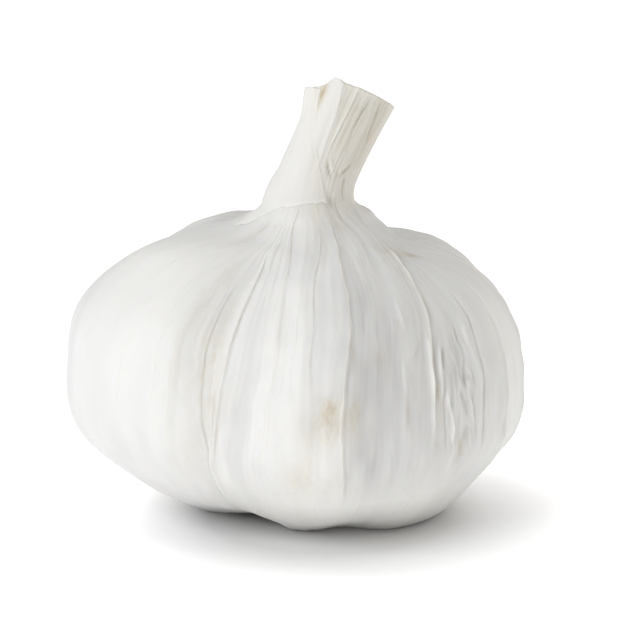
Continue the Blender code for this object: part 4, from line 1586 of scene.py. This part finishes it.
def cut_end():
    """The cut end of the neck: rings of pressed sheaths round a woody middle, lower where the rim is torn."""
    azimuth = np.arange(CUT_COLUMNS) * 360 / CUT_COLUMNS
    level = 0 * azimuth
    outside = CUT_RINGS[0][0] + CUT_GAP_OUT * CUT_RINGS[0][1]
    base = level + NECK_TOP - CUT_BASE_DEPTH
    rows = [in_space(level + r, base, azimuth) for r in (CUT_BASE_INNER, outside - CUT_BASE_INSET)]
    depths = [CUT_BASE_DEPTH, CUT_BASE_DEPTH]
    for radius, height, ring in cut_profile():
        wave = waves(azimuth, level, CUT_WAVE, seed=60 + ring) * smooth_step(*CUT_WAVE_RADII, radius)
        ragged = waves(azimuth, level, CUT_RAGGED, seed=70 + ring)
        ragged = ragged + waves(azimuth, level, CUT_FINE_RAGGED, seed=80)
        torn = rim_drop(azimuth, 0.0) * smooth_step(*CUT_TORN_RADII, radius)
        raised = height + ragged * smooth_step(*CUT_RAGGED_RADII, radius) - np.maximum(0.0, torn)
        rows.append(in_space(radius + wave, NECK_TOP + raised, azimuth))
        depths.append(-height)
    grid = np.array(rows)
    piece = closed_tube("cut_end", grid, grid[0].mean(0), grid[-1].mean(0), upward=True)
    store(piece, "depth", np.concatenate([np.repeat(depths, CUT_COLUMNS), [CUT_BASE_DEPTH, 0.0]]))
    return piece


def plate_side():
    """Side view of the root plate, from the middle of its top round its edge to the middle below."""
    flat = PLATE_RADIUS - PLATE_ROUND
    top = [(r, PLATE_HIGH) for r in np.linspace(PLATE_TOP_INNERMOST, flat, PLATE_TOP_RINGS)]
    turn = np.radians(np.linspace(PLATE_EDGE_TURN, -PLATE_EDGE_TURN, PLATE_EDGE_RINGS))
    middle = (PLATE_HIGH + PLATE_LOW) / 2
    reach = (PLATE_HIGH - PLATE_LOW) / 2
    edge = [(flat + PLATE_ROUND * math.cos(a), middle + reach * math.sin(a)) for a in turn]
    under = [(r, PLATE_LOW) for r in np.linspace(flat, PLATE_FOOT_INNERMOST, PLATE_RINGS)]
    return np.array([*top, *edge, *under])


def root_plate():
    """The corky plate: a thick disc with a crumbled underside and a ragged edge."""
    azimuth = np.arange(PLATE_COLUMNS) * 360 / PLATE_COLUMNS
    side = plate_side()
    radius = np.broadcast_to(side[:, :1], (len(side), PLATE_COLUMNS))
    height = np.broadcast_to(side[:, 1:], radius.shape)
    under = smooth_step(PLATE_HIGH, PLATE_LOW, height)
    crumbs = waves(azimuth, radius, PLATE_CRUMBS, seed=84)
    sway = waves(azimuth, radius, PLATE_RIPPLE_SWAY, seed=87)
    ripple = PLATE_RIPPLE * np.sin(radius * PLATE_RIPPLE_TURN + sway)
    ragged = waves(azimuth, height, PLATE_RAGGED, seed=88)
    radius = radius + np.where(radius > PLATE_RAGGED_FROM, ragged, 0)
    turn = np.radians(azimuth)
    grid = np.stack([radius * np.cos(turn), radius * np.sin(turn), height + under * (crumbs + ripple)], -1)
    return closed_tube("root_plate_cork", grid, [0, 0, PLATE_HIGH], [0, 0, PLATE_LOW])


# Nodes, for the geometry and for the materials


def add(tree, kind, inputs=(), **settings):
    """Adds a node with its settings, and sets or links its inputs, which go by name or number."""
    node = tree.nodes.new(kind)
    for key, value in settings.items():
        setattr(node, key, value)
    for key, value in dict(inputs).items():
        if isinstance(value, bpy.types.NodeSocket):
            tree.links.new(value, node.inputs[key])
        else:
            node.inputs[key].default_value = value
    return node


def attribute(tree, name, output="Fac"):
    """An attribute of the mesh in a material."""
    return add(tree, "ShaderNodeAttribute", attribute_name=name).outputs[output]


def maths(tree, operation, a, b=0.0, clamp=False):
    """The result of a sum on two values."""
    return add(tree, "ShaderNodeMath", {0: a, 1: b}, operation=operation, use_clamp=clamp).outputs[0]


def ramp(tree, value, low, high):
    """The value stretched so that low gives 0 and high gives 1."""
    inputs = {"Value": value, "From Min": low, "From Max": high}
    return add(tree, "ShaderNodeMapRange", inputs, clamp=True).outputs[0]


def ramp_to(tree, value, low, high, share):
    """The value stretched so that low gives 0 and high gives a share."""
    return maths(tree, "MULTIPLY", ramp(tree, value, low, high), share)


def blend(tree, share, first, second, mode="MIX"):
    """A colour between two, by a share."""
    node = add(tree, "ShaderNodeMix", data_type="RGBA", blend_type=mode, clamp_factor=True)
    for socket, value in ((node.inputs[0], share), (node.inputs[6], first), (node.inputs[7], second)):
        if isinstance(value, bpy.types.NodeSocket):
            tree.links.new(value, socket)
        elif socket is node.inputs[0]:
            socket.default_value = value
        else:
            socket.default_value = (*value, 1)
    return node.outputs[2]


def noise_node(tree, vector, scale, detail, roughness, seed):
    """Noise of a material at a place."""
    inputs = {"Vector": vector, "Scale": scale, "Detail": detail, "Roughness": roughness, "W": seed}
    return add(tree, "ShaderNodeTexNoise", inputs, noise_dimensions="4D").outputs["Fac"]


# Geometry Nodes


def new_tree(name, inputs):
    """A node group that takes and gives geometry, with further inputs of (name, socket type, value)."""
    tree = bpy.data.node_groups.new(name, "GeometryNodeTree")
    tree.interface.new_socket("Geometry", in_out="INPUT", socket_type="NodeSocketGeometry")
    tree.interface.new_socket("Geometry", in_out="OUTPUT", socket_type="NodeSocketGeometry")
    for label, kind, value in inputs:
        tree.interface.new_socket(label, in_out="INPUT", socket_type=kind).default_value = value
    return tree, tree.nodes.new("NodeGroupInput").outputs, tree.nodes.new("NodeGroupOutput").inputs


def named(tree, name, kind):
    """A named attribute in a node group."""
    return add(tree, "GeometryNodeInputNamedAttribute", {"Name": name}, data_type=kind).outputs["Attribute"]


def moved_by_noise(tree, geometry, place, height):
    """The geometry moved along its normals by noise at a place, by up to a height either way."""
    value = add(tree, "ShaderNodeTexNoise", {"Vector": place, "Scale": 1.0, "Detail": 2.0}).outputs["Fac"]
    centred = maths(tree, "MULTIPLY", maths(tree, "SUBTRACT", value, 0.5), 2.0)
    reach = maths(tree, "MULTIPLY", centred, height)
    normal = add(tree, "GeometryNodeInputNormal").outputs["Normal"]
    offset = scaled(tree, normal, reach)
    return add(tree, "GeometryNodeSetPosition", {"Geometry": geometry, "Offset": offset}).outputs[0]


def scaled(tree, vector, scale):
    """A vector in a node group, scaled."""
    return add(tree, "ShaderNodeVectorMath", {"Vector": vector, "Scale": scale}, operation="SCALE").outputs[0]


def finished(tree, geometry, material):
    """The geometry made real, smooth and given its material."""
    real = add(tree, "GeometryNodeRealizeInstances", {"Geometry": geometry}).outputs[0]
    smooth = add(tree, "GeometryNodeSetShadeSmooth", {"Geometry": real}).outputs[0]
    return add(tree, "GeometryNodeSetMaterial", {"Geometry": smooth, "Material": material}).outputs[0]


def run_tree(obj, tree, values):
    """Puts the object's mesh through a node group with the given inputs and keeps what comes out."""
    modifier = obj.modifiers.new(tree.name, "NODES")
    modifier.node_group = tree
    for item in tree.interface.items_tree:
        if item.in_out == "INPUT" and item.name in values:
            modifier[item.identifier] = values[item.name]
    bpy.context.view_layer.update()
    graph = bpy.context.evaluated_depsgraph_get()
    made = bpy.data.meshes.new_from_object(obj.evaluated_get(graph))
    obj.modifiers.remove(modifier)
    made.name = obj.name
    obj.data = made


def fibre_tree():
    """Raises the papery fibres of the skin: noise drawn out along the grain."""
    inputs = (
        ("Height", "NodeSocketFloat", 0.0),
        ("Across", "NodeSocketFloat", 1.0),
        ("Along", "NodeSocketFloat", 1.0),
        ("Material", "NodeSocketMaterial", None),
    )
    tree, given, result = new_tree("papery_fibres", inputs)
    scales = {"X": given["Across"], "Y": given["Across"], "Z": given["Along"]}
    scale = add(tree, "ShaderNodeCombineXYZ", scales).outputs[0]
    vectors = {0: named(tree, "grain", "FLOAT_VECTOR"), 1: scale}
    place = add(tree, "ShaderNodeVectorMath", vectors, operation="MULTIPLY").outputs[0]
    height = maths(tree, "MULTIPLY", named(tree, "fibrous", "FLOAT"), given["Height"])
    raised = moved_by_noise(tree, given["Geometry"], place, height)
    tree.links.new(finished(tree, raised, given["Material"]), result["Geometry"])
    return tree


def stub_tree():
    """Stands a tapered, crumbled root stub on each point, turned and sized by the point's attributes."""
    inputs = (
        ("Taper", "NodeSocketFloat", 1.0),
        ("Crumble", "NodeSocketFloat", 0.0),
        ("Crumbs", "NodeSocketFloat", 1.0),
        ("Material", "NodeSocketMaterial", None),
    )
    tree, given, result = new_tree("root_stubs", inputs)
    sizes = {
        "Vertices": ROOT_SIDES,
        "Side Segments": ROOT_ROWS,
        "Fill Segments": 2,
        "Radius Top": 1.0,
        "Radius Bottom": given["Taper"],
        "Depth": 1.0,
    }
    wanted = {
        "Points": given["Geometry"],
        "Instance": add(tree, "GeometryNodeMeshCone", sizes).outputs["Mesh"],
        "Rotation": named(tree, "turned", "FLOAT_VECTOR"),
        "Scale": named(tree, "sizes", "FLOAT_VECTOR"),
    }
    stubs = add(tree, "GeometryNodeInstanceOnPoints", wanted).outputs[0]
    real = add(tree, "GeometryNodeRealizeInstances", {"Geometry": stubs}).outputs[0]
    place = scaled(tree, add(tree, "GeometryNodeInputPosition").outputs[0], given["Crumbs"])
    crumbled = moved_by_noise(tree, real, place, given["Crumble"])
    tree.links.new(finished(tree, crumbled, given["Material"]), result["Geometry"])
    return tree


def thread_tree():
    """Turns paths of edges into threads, as thick as the attribute on their points."""
    inputs = (("Sides", "NodeSocketInt", THREAD_SIDES), ("Material", "NodeSocketMaterial", None))
    tree, given, result = new_tree("threads", inputs)
    circle = {"Resolution": given["Sides"], "Radius": 1.0}
    parts = {
        "Curve": add(tree, "GeometryNodeMeshToCurve", {"Mesh": given["Geometry"]}).outputs[0],
        "Profile Curve": add(tree, "GeometryNodeCurvePrimitiveCircle", circle).outputs[0],
        "Scale": named(tree, "girth", "FLOAT"),
        "Fill Caps": True,
    }
    tube = add(tree, "GeometryNodeCurveToMesh", parts).outputs[0]
    tree.links.new(finished(tree, tube, given["Material"]), result["Geometry"])
    return tree


def root_stubs(material):
    """The stubs of the trimmed roots, in rings under the plate."""
    draw = random.Random(SEED)
    places, turns, sizes = [], [], []
    for ring_radius, count in ROOT_RINGS:
        for i in range(count):
            azimuth = math.tau * (i + draw.uniform(-ROOT_STRAY_ROUND, ROOT_STRAY_ROUND)) / count
            radius = ring_radius * draw.uniform(*ROOT_STRAY_OUT)
            tip = draw.uniform(*ROOT_TIPS)
            depth = PLATE_LOW + ROOT_SUNK - tip
            girth = ROOT_RADIUS * draw.uniform(*ROOT_GIRTHS)
            splay = ROOT_SPLAY * radius / PLATE_RADIUS + draw.uniform(-ROOT_SPLAY_STRAY, ROOT_SPLAY_STRAY)
            heading = Matrix.Rotation(azimuth, 3, "Z")
            lean = Matrix.Rotation(-math.radians(splay), 3, "Y")
            spin = Matrix.Rotation(draw.uniform(0, math.tau), 3, "Z")
            turn = heading @ lean @ spin
            centre = Vector((radius * math.cos(azimuth), radius * math.sin(azimuth), tip + depth / 2))
            places.append(centre - turn @ Vector((0, 0, depth / 2)))
            turns.append(turn.to_euler())
            sizes.append((girth * MM, girth * MM, depth * MM))
    stubs = mesh_from("root_stubs", places, [])
    store(stubs, "turned", turns, "FLOAT_VECTOR")
    store(stubs, "sizes", sizes, "FLOAT_VECTOR")
    values = {"Taper": ROOT_TAPER, "Crumble": ROOT_CRUMBLE, "Crumbs": ROOT_CRUMBS, "Material": material}
    run_tree(stubs, stub_tree(), values)
    return stubs


def vein_paths():
    """Paths of fine veins over the whole skin, along its grain: (lengths down, azimuths, girth)."""
    draw = np.random.default_rng(SEED)
    veins = []
    for i in range(VEIN_COUNT):
        azimuth = (i + draw.uniform(-VEIN_STRAY, VEIN_STRAY)) * 360 / VEIN_COUNT
        start = draw.uniform(*VEIN_FROM)
        length = draw.uniform(*VEIN_LENGTHS)
        down = np.arange(start, min(start + length, VEIN_LAST), THREAD_STEP)
        sway = VEIN_SWAY * two_waves(down, draw.uniform(*VEIN_PHASES), *VEIN_WAVES)
        veins.append((down, azimuth + sway, draw.uniform(*VEIN_GIRTHS)))
    return veins


def thread_paths():
    """Paths of the threads that stand out along lines of the skin and the neck, given as the veins are."""
    found = []
    for path, aside, girth in THREADS:
        down = np.arange(path[0][0], path[-1][0], THREAD_STEP)
        found.append((down, line_azimuth(beside(path, aside), down), girth))
    return found


def thread_girths(down, phase, girth):
    """Girths along a thread: it strays in two waves and thins out at both ends."""
    share = np.linspace(0, 1, len(down))
    thick = girth * np.sqrt(np.minimum(1.0, THREAD_TAPER * share * (1 - share)) + THREAD_END)
    short, long = THREAD_WAVES
    return thick * (1 + THREAD_STRAY * np.sin(down * short + phase) * np.sin(down * long + 2 * phase))


def threads(name, paths, skin, material):
    """Threads laid on the skin along paths, sunk in by a part of their girth."""
    under = BVHTree.FromObject(skin, bpy.context.evaluated_depsgraph_get())
    points, edges, girths = [], [], []
    for down, azimuth, girth in paths:
        place = in_frame(skin_place(azimuth, down))
        normal = skin_normal(azimuth, down)
        last = None
        for spot, out, half in zip(place, normal, thread_girths(down, azimuth[0], girth)):
            start = Vector(spot + out * THREAD_RAY * MM)
            hit = under.ray_cast(start, -Vector(out), 2 * THREAD_RAY * MM)[0]
            if hit is None:
                last = None
                continue
            points.append(np.array(hit) - out * THREAD_SUNK * half * MM)
            girths.append(half * MM)
            if last is not None:
                edges.append((last, len(points) - 1))
            last = len(points) - 1
    mesh = bpy.data.meshes.new(name)
    mesh.from_pydata([tuple(point) for point in points], edges, [])
    made = bpy.data.objects.new(name, mesh)
    bpy.context.scene.collection.objects.link(made)
    store(made, "girth", girths)
    run_tree(made, thread_tree(), {"Sides": THREAD_SIDES, "Material": material})
    return made


# Materials


SKIN_WHITE = (0.752, 0.750, 0.738)
SKIN_IVORY = (0.700, 0.690, 0.655)
# Pale tint, also used for painted highlights and painted light
SKIN_PALE_AND_HIGHLIGHT = (0.830, 0.820, 0.790)
SKIN_WARM = (0.480, 0.405, 0.265)
# Grey tint, also used for painted shade
SKIN_GREY_AND_SHADE = (0.490, 0.484, 0.492)
SKIN_BEIGE = (0.640, 0.590, 0.490)
NECK_CREAM = (0.735, 0.705, 0.640)
SCATTER_RADIUS = (0.0016, 0.0012, 0.0009)
SKIN_SPECULAR = 0.35
# Roughness of the skin, with the share that its fine fibres add, and the height of its bump in metres
SKIN_ROUGHNESS = 0.40
SKIN_ROUGHNESS_STRAY = 0.25
SKIN_BUMP = 0.22
SKIN_BUMP_HEIGHT = 0.00010
FINE_IN_BUMP = 0.45
# Noises of the papery skin: (cells per mm across and along its grain, detail, roughness, seed)
PAPER_NOISES = {
    "fibres": (1.1, 0.11, 4.0, 0.6, 1.0),
    "fine": (7.0, 0.35, 3.0, 0.6, 2.0),
    "clouds": (0.16, 0.09, 2.0, 0.5, 3.0),
    "cool": (0.30, 0.14, 3.0, 0.6, 11.0),
    "dull": (0.34, 0.13, 3.0, 0.6, 12.0),
    "specks": (0.9, 0.5, 4.0, 0.7, 4.0),
}
# Mottles laid on the white skin: (noise, values at which it starts and is full, share, tint)
MOTTLES = (
    ("fibres", 0.42, 0.85, 0.34, SKIN_IVORY),
    ("cool", 0.48, 0.74, 0.22, SKIN_GREY_AND_SHADE),
    ("dull", 0.52, 0.76, 0.24, SKIN_BEIGE),
    ("clouds", 0.50, 0.80, 0.50, SKIN_IVORY),
)
# Tints laid over them where an attribute of the mesh calls them up: (attribute, share, tint). The grey one is
# partly painted shade, and the pale one partly painted highlight and painted light.
CALLED_TINTS = (
    ("neck", 0.75, NECK_CREAM),
    ("grey_and_painted_shade", 0.45, SKIN_GREY_AND_SHADE),
    ("warm", 0.50, SKIN_WARM),
    ("pale_and_painted_light", 0.8, SKIN_PALE_AND_HIGHLIGHT),
)
SPECKS_SHOWN = (0.2, 0.75)

# Colours, noises of (cells per metre, detail, roughness, seed), and how these show in the other materials as
# (value at which one starts, value at which it is full, share)
CUT_CREAM = (0.72, 0.62, 0.44)
CUT_BROWN = (0.33, 0.21, 0.10)
CUT_FINE = (2600.0, 4.0, 0.65, 5.0)
CUT_PATCHES = (500.0, 3.0, 0.6, 6.0)
CUT_PATCHES_SHOWN = (0.45, 0.8, 0.5)
CUT_SUNK_SHOWN = (0.05, 0.8, 0.8)
CORK_LIGHT = (0.56, 0.44, 0.29)
CORK_DARK = (0.27, 0.18, 0.10)
CORK_GRAINS = (1100.0, 5.0, 0.7, 8.0)
CORK_GRAINS_SHOWN = (0.35, 0.7, 0.5)
CORK_PATCHES = (260.0, 3.0, 0.6, 9.0)
CORK_PATCHES_SHOWN = (0.4, 0.75, 0.5)
THREAD_LIGHT = (0.80, 0.78, 0.73)
THREAD_DULL = (0.68, 0.64, 0.56)
THREAD_PATCHES = (350.0, 3.0, 0.6, 21.0)
THREAD_PATCHES_SHOWN = (0.45, 0.75)
THREAD_FINE = (3000.0, 3.0, 0.6, 22.0)
THREAD_ROUGHNESS = 0.4
THREAD_ROUGHNESS_STRAY = 0.3


def new_material(name):
    """A material, its nodes and its shader."""
    made = bpy.data.materials.new(name)
    made.use_nodes = True
    tree = made.node_tree
    shader = tree.nodes["Principled BSDF"]
    return made, tree, shader


def set_values(shader, values):
    """Sets inputs of a shader by name."""
    for name, value in values.items():
        shader.inputs[name].default_value = value


def stray_roughness(tree, shader, value, least, stray):
    """Roughness from a least one up by a stray with a value."""
    rough = maths(tree, "ADD", maths(tree, "MULTIPLY", value, stray), least)
    tree.links.new(rough, shader.inputs["Roughness"])


def bumped(tree, shader, height, strength, distance):
    """A bump of a material's surface, by a height over a distance in metres."""
    inputs = {"Strength": strength, "Distance": distance, "Height": height}
    tree.links.new(add(tree, "ShaderNodeBump", inputs).outputs[0], shader.inputs["Normal"])


def skin_material(name, scatter):
    """Papery skin: white with ivory fibres along its grain, brown stains in its creases, grey tints and
    painted shade, and pale tints and painted highlights.
    """
    made, tree, shader = new_material(name)
    grain = attribute(tree, "grain", "Vector")
    noises = {}
    for label, (across, along, *settings) in PAPER_NOISES.items():
        inputs = {"Vector": grain, "Scale": (across, across, along)}
        stretched = add(tree, "ShaderNodeMapping", inputs).outputs[0]
        noises[label] = noise_node(tree, stretched, 1.0, *settings)
    streaky = attribute(tree, "streaky")
    colour = SKIN_WHITE
    for label, low, high, share, tint in MOTTLES:
        strength = maths(tree, "MULTIPLY", ramp_to(tree, noises[label], low, high, share), streaky)
        colour = blend(tree, strength, colour, tint)
    for label, share, tint in CALLED_TINTS:
        strength = attribute(tree, label)
        if label == "warm":
            strength = maths(tree, "MULTIPLY", strength, ramp(tree, noises["specks"], *SPECKS_SHOWN))
        colour = blend(tree, maths(tree, "MULTIPLY", strength, share, clamp=True), colour, tint)
    tree.links.new(colour, shader.inputs["Base Color"])
    stray_roughness(tree, shader, noises["fine"], SKIN_ROUGHNESS, SKIN_ROUGHNESS_STRAY)
    height = maths(tree, "ADD", noises["fibres"], maths(tree, "MULTIPLY", noises["fine"], FINE_IN_BUMP))
    bumped(tree, shader, height, SKIN_BUMP, SKIN_BUMP_HEIGHT)
    values = {
        "Subsurface Weight": scatter,
        "Subsurface Radius": SCATTER_RADIUS,
        "Subsurface Scale": 1.0,
        "Specular IOR Level": SKIN_SPECULAR,
    }
    set_values(shader, values)
    return made


def cut_material():
    """Cut end: cream papery edges, brown in the gaps between the rings, with a fibrous middle."""
    made, tree, shader = new_material("cut_neck_end")
    place = add(tree, "ShaderNodeTexCoord").outputs["Object"]
    sunk = ramp_to(tree, attribute(tree, "depth"), *CUT_SUNK_SHOWN)
    patches = ramp_to(tree, noise_node(tree, place, *CUT_PATCHES), *CUT_PATCHES_SHOWN)
    colour = blend(tree, maths(tree, "ADD", sunk, patches, clamp=True), CUT_CREAM, CUT_BROWN)
    tree.links.new(colour, shader.inputs["Base Color"])
    set_values(shader, {"Roughness": 0.8, "Specular IOR Level": 0.25})
    bumped(tree, shader, noise_node(tree, place, *CUT_FINE), strength=0.5, distance=0.0001)
    return made


def cork_material():
    """Dry cork of the root plate and its roots: brown and crumbled, with paler ridges."""
    made, tree, shader = new_material("root_cork_finish")
    place = add(tree, "ShaderNodeTexCoord").outputs["Object"]
    grains = noise_node(tree, place, *CORK_GRAINS)
    darker = ramp_to(tree, grains, *CORK_GRAINS_SHOWN)
    patches = ramp_to(tree, noise_node(tree, place, *CORK_PATCHES), *CORK_PATCHES_SHOWN)
    colour = blend(tree, maths(tree, "ADD", darker, patches, clamp=True), CORK_LIGHT, CORK_DARK)
    tree.links.new(colour, shader.inputs["Base Color"])
    set_values(shader, {"Roughness": 0.9, "Specular IOR Level": 0.2})
    bumped(tree, shader, grains, strength=0.7, distance=0.00015)
    return made


def thread_material():
    """Threads of the skin: pale, with duller stretches."""
    made, tree, shader = new_material("pale_vein_threads")
    place = add(tree, "ShaderNodeTexCoord").outputs["Object"]
    patches = ramp(tree, noise_node(tree, place, *THREAD_PATCHES), *THREAD_PATCHES_SHOWN)
    tree.links.new(blend(tree, patches, THREAD_LIGHT, THREAD_DULL), shader.inputs["Base Color"])
    fine = noise_node(tree, place, *THREAD_FINE)
    stray_roughness(tree, shader, fine, THREAD_ROUGHNESS, THREAD_ROUGHNESS_STRAY)
    set_values(shader, {"Specular IOR Level": 0.3})
    return made


# Stage: floor, lights and camera

CAMERA_ELEVATION = 14.0
CAMERA_DISTANCE = 0.45
CAMERA_LENS = 200.0
CAMERA_SENSOR = 36.0
CAMERA_AIM = (0.19, -0.19, 24.2)
CAMERA_CLIP = 0.01


def camera():
    """The camera at the photo's viewing angle."""
    made = bpy.data.objects.new("camera", bpy.data.cameras.new("camera"))
    bpy.context.scene.collection.objects.link(made)
    made.data.lens = CAMERA_LENS
    made.data.sensor_width = CAMERA_SENSOR
    made.data.clip_start = CAMERA_CLIP
    aim = Vector(AXIS) + Vector(CAMERA_AIM) * MM
    aim.y = 0.0
    up = math.radians(CAMERA_ELEVATION)
    back = Vector((0, -math.cos(up), math.sin(up)))
    made.location = aim + back * CAMERA_DISTANCE
    made.rotation_mode = "QUATERNION"
    made.rotation_quaternion = (-back).to_track_quat("-Z", "Y")
    bpy.context.scene.camera = made


# The floor is white and glows, as painted light, and close round the bulb it is a little darker and without
# glow, as a painted shadow: from and to radii in metres
FLOOR_SIZE = 6.0
FLOOR_WHITE = (0.92, 0.92, 0.92)
FLOOR_PAINTED_GLOW = 0.47
FLOOR_PAINTED_SHADOW = (0.80, 0.80, 0.80)
FLOOR_PAINTED_SHADOW_RADII = (0.0150, 0.0315)
FLOOR_PAINTED_SHADOW_MIDDLE = (0.0040, -0.0060, 0.0)


def floor():
    """A white floor that glows as painted light, with a painted shadow close round the bulb."""
    bm = bmesh.new()
    bmesh.ops.create_grid(bm, x_segments=1, y_segments=1, size=FLOOR_SIZE / 2)
    mesh = bpy.data.meshes.new("floor")
    bm.to_mesh(mesh)
    bm.free()
    made = bpy.data.objects.new("floor", mesh)
    bpy.context.scene.collection.objects.link(made)
    white, tree, shader = new_material("white_floor_painted_shadow")
    set_values(shader, {"Roughness": 0.9, "Specular IOR Level": 0.1, "Emission Color": (1, 1, 1, 1)})
    ends = {0: add(tree, "ShaderNodeTexCoord").outputs["Object"], 1: FLOOR_PAINTED_SHADOW_MIDDLE}
    distance = add(tree, "ShaderNodeVectorMath", ends, operation="DISTANCE").outputs["Value"]
    # Painted shadow: darker and without glow near the bulb, glowing farther off
    out_of_painted_shadow = ramp(tree, distance, *FLOOR_PAINTED_SHADOW_RADII)
    tree.links.new(blend(tree, out_of_painted_shadow, FLOOR_PAINTED_SHADOW, FLOOR_WHITE), shader.inputs["Base Color"])
    tree.links.new(maths(tree, "MULTIPLY", out_of_painted_shadow, FLOOR_PAINTED_GLOW), shader.inputs["Emission Strength"])
    mesh.materials.append(white)


# Soft lights: (name, azimuth they shine from, elevation, distance, size, watts, colour), about a middle
# height
LIGHTS = (
    ("window", 221.0, 34.0, 0.60, 0.40, 1.73, (0.95, 0.975, 1.0)),
    ("low_light", 272.0, 3.0, 0.60, 0.25, 0.24, (1.0, 0.985, 0.955)),
    ("back_light", 34.0, 20.0, 0.60, 0.40, 0.95, (1.0, 0.985, 0.955)),
    ("top_light", 140.0, 60.0, 0.70, 0.50, 0.86, (1.0, 1.0, 1.0)),
)
LIGHTS_HEIGHT = 0.02
SKY_STRENGTH = 0.41
SKY_COLOUR = (1.0, 0.988, 0.965, 1.0)


def lights():
    """The soft lights and the sky."""
    for name, azimuth, elevation, distance, size, watts, colour in LIGHTS:
        data = bpy.data.lights.new(name, "AREA")
        data.shape = "DISK"
        data.size = size
        data.energy = watts
        data.color = colour
        made = bpy.data.objects.new(name, data)
        bpy.context.scene.collection.objects.link(made)
        turn, up = math.radians(azimuth), math.radians(elevation)
        towards = Vector((math.cos(turn) * math.cos(up), math.sin(turn) * math.cos(up), math.sin(up)))
        made.location = towards * distance + Vector((0, 0, LIGHTS_HEIGHT))
        made.rotation_mode = "QUATERNION"
        made.rotation_quaternion = (-towards).to_track_quat("-Z", "Y")
    world = bpy.data.worlds.new("soft_sky")
    world.use_nodes = True
    sky = world.node_tree.nodes["Background"]
    sky.inputs["Color"].default_value = SKY_COLOUR
    sky.inputs["Strength"].default_value = SKY_STRENGTH
    bpy.context.scene.world = world


def finish(piece, material):
    """Gives a piece its material and its slot, and lets it ride with the bulb."""
    piece.data.materials.clear()
    piece.data.materials.append(material)
    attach(piece, "root")


def main():
    """Builds the pieces, gives them their looks and puts up the stage."""
    cork = cork_material()
    skin = whole_skin()
    paper = skin_material("papery_white_skin", scatter=0.25)
    fibres = {"Height": FIBRE_HEIGHT, "Across": FIBRE_ACROSS, "Along": FIBRE_ALONG, "Material": paper}
    run_tree(skin, fibre_tree(), fibres)
    finish(skin, paper)
    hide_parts("bulb")
    veins = threads("skin_threads", thread_paths() + vein_paths(), skin, thread_material())
    finish(veins, veins.data.materials[0])
    thin_paper = skin_material("thin_neck_paper", scatter=0.0)
    for sheath in SHEATHS:
        finish(neck_sheath(sheath), thin_paper)
    finish(cut_end(), cut_material())
    plate = root_plate()
    finish(plate, cork)
    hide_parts("root_plate")
    finish(root_stubs(cork), cork)
    floor()
    lights()
    camera()
    bpy.context.scene.view_settings.view_transform = "Standard"


main()
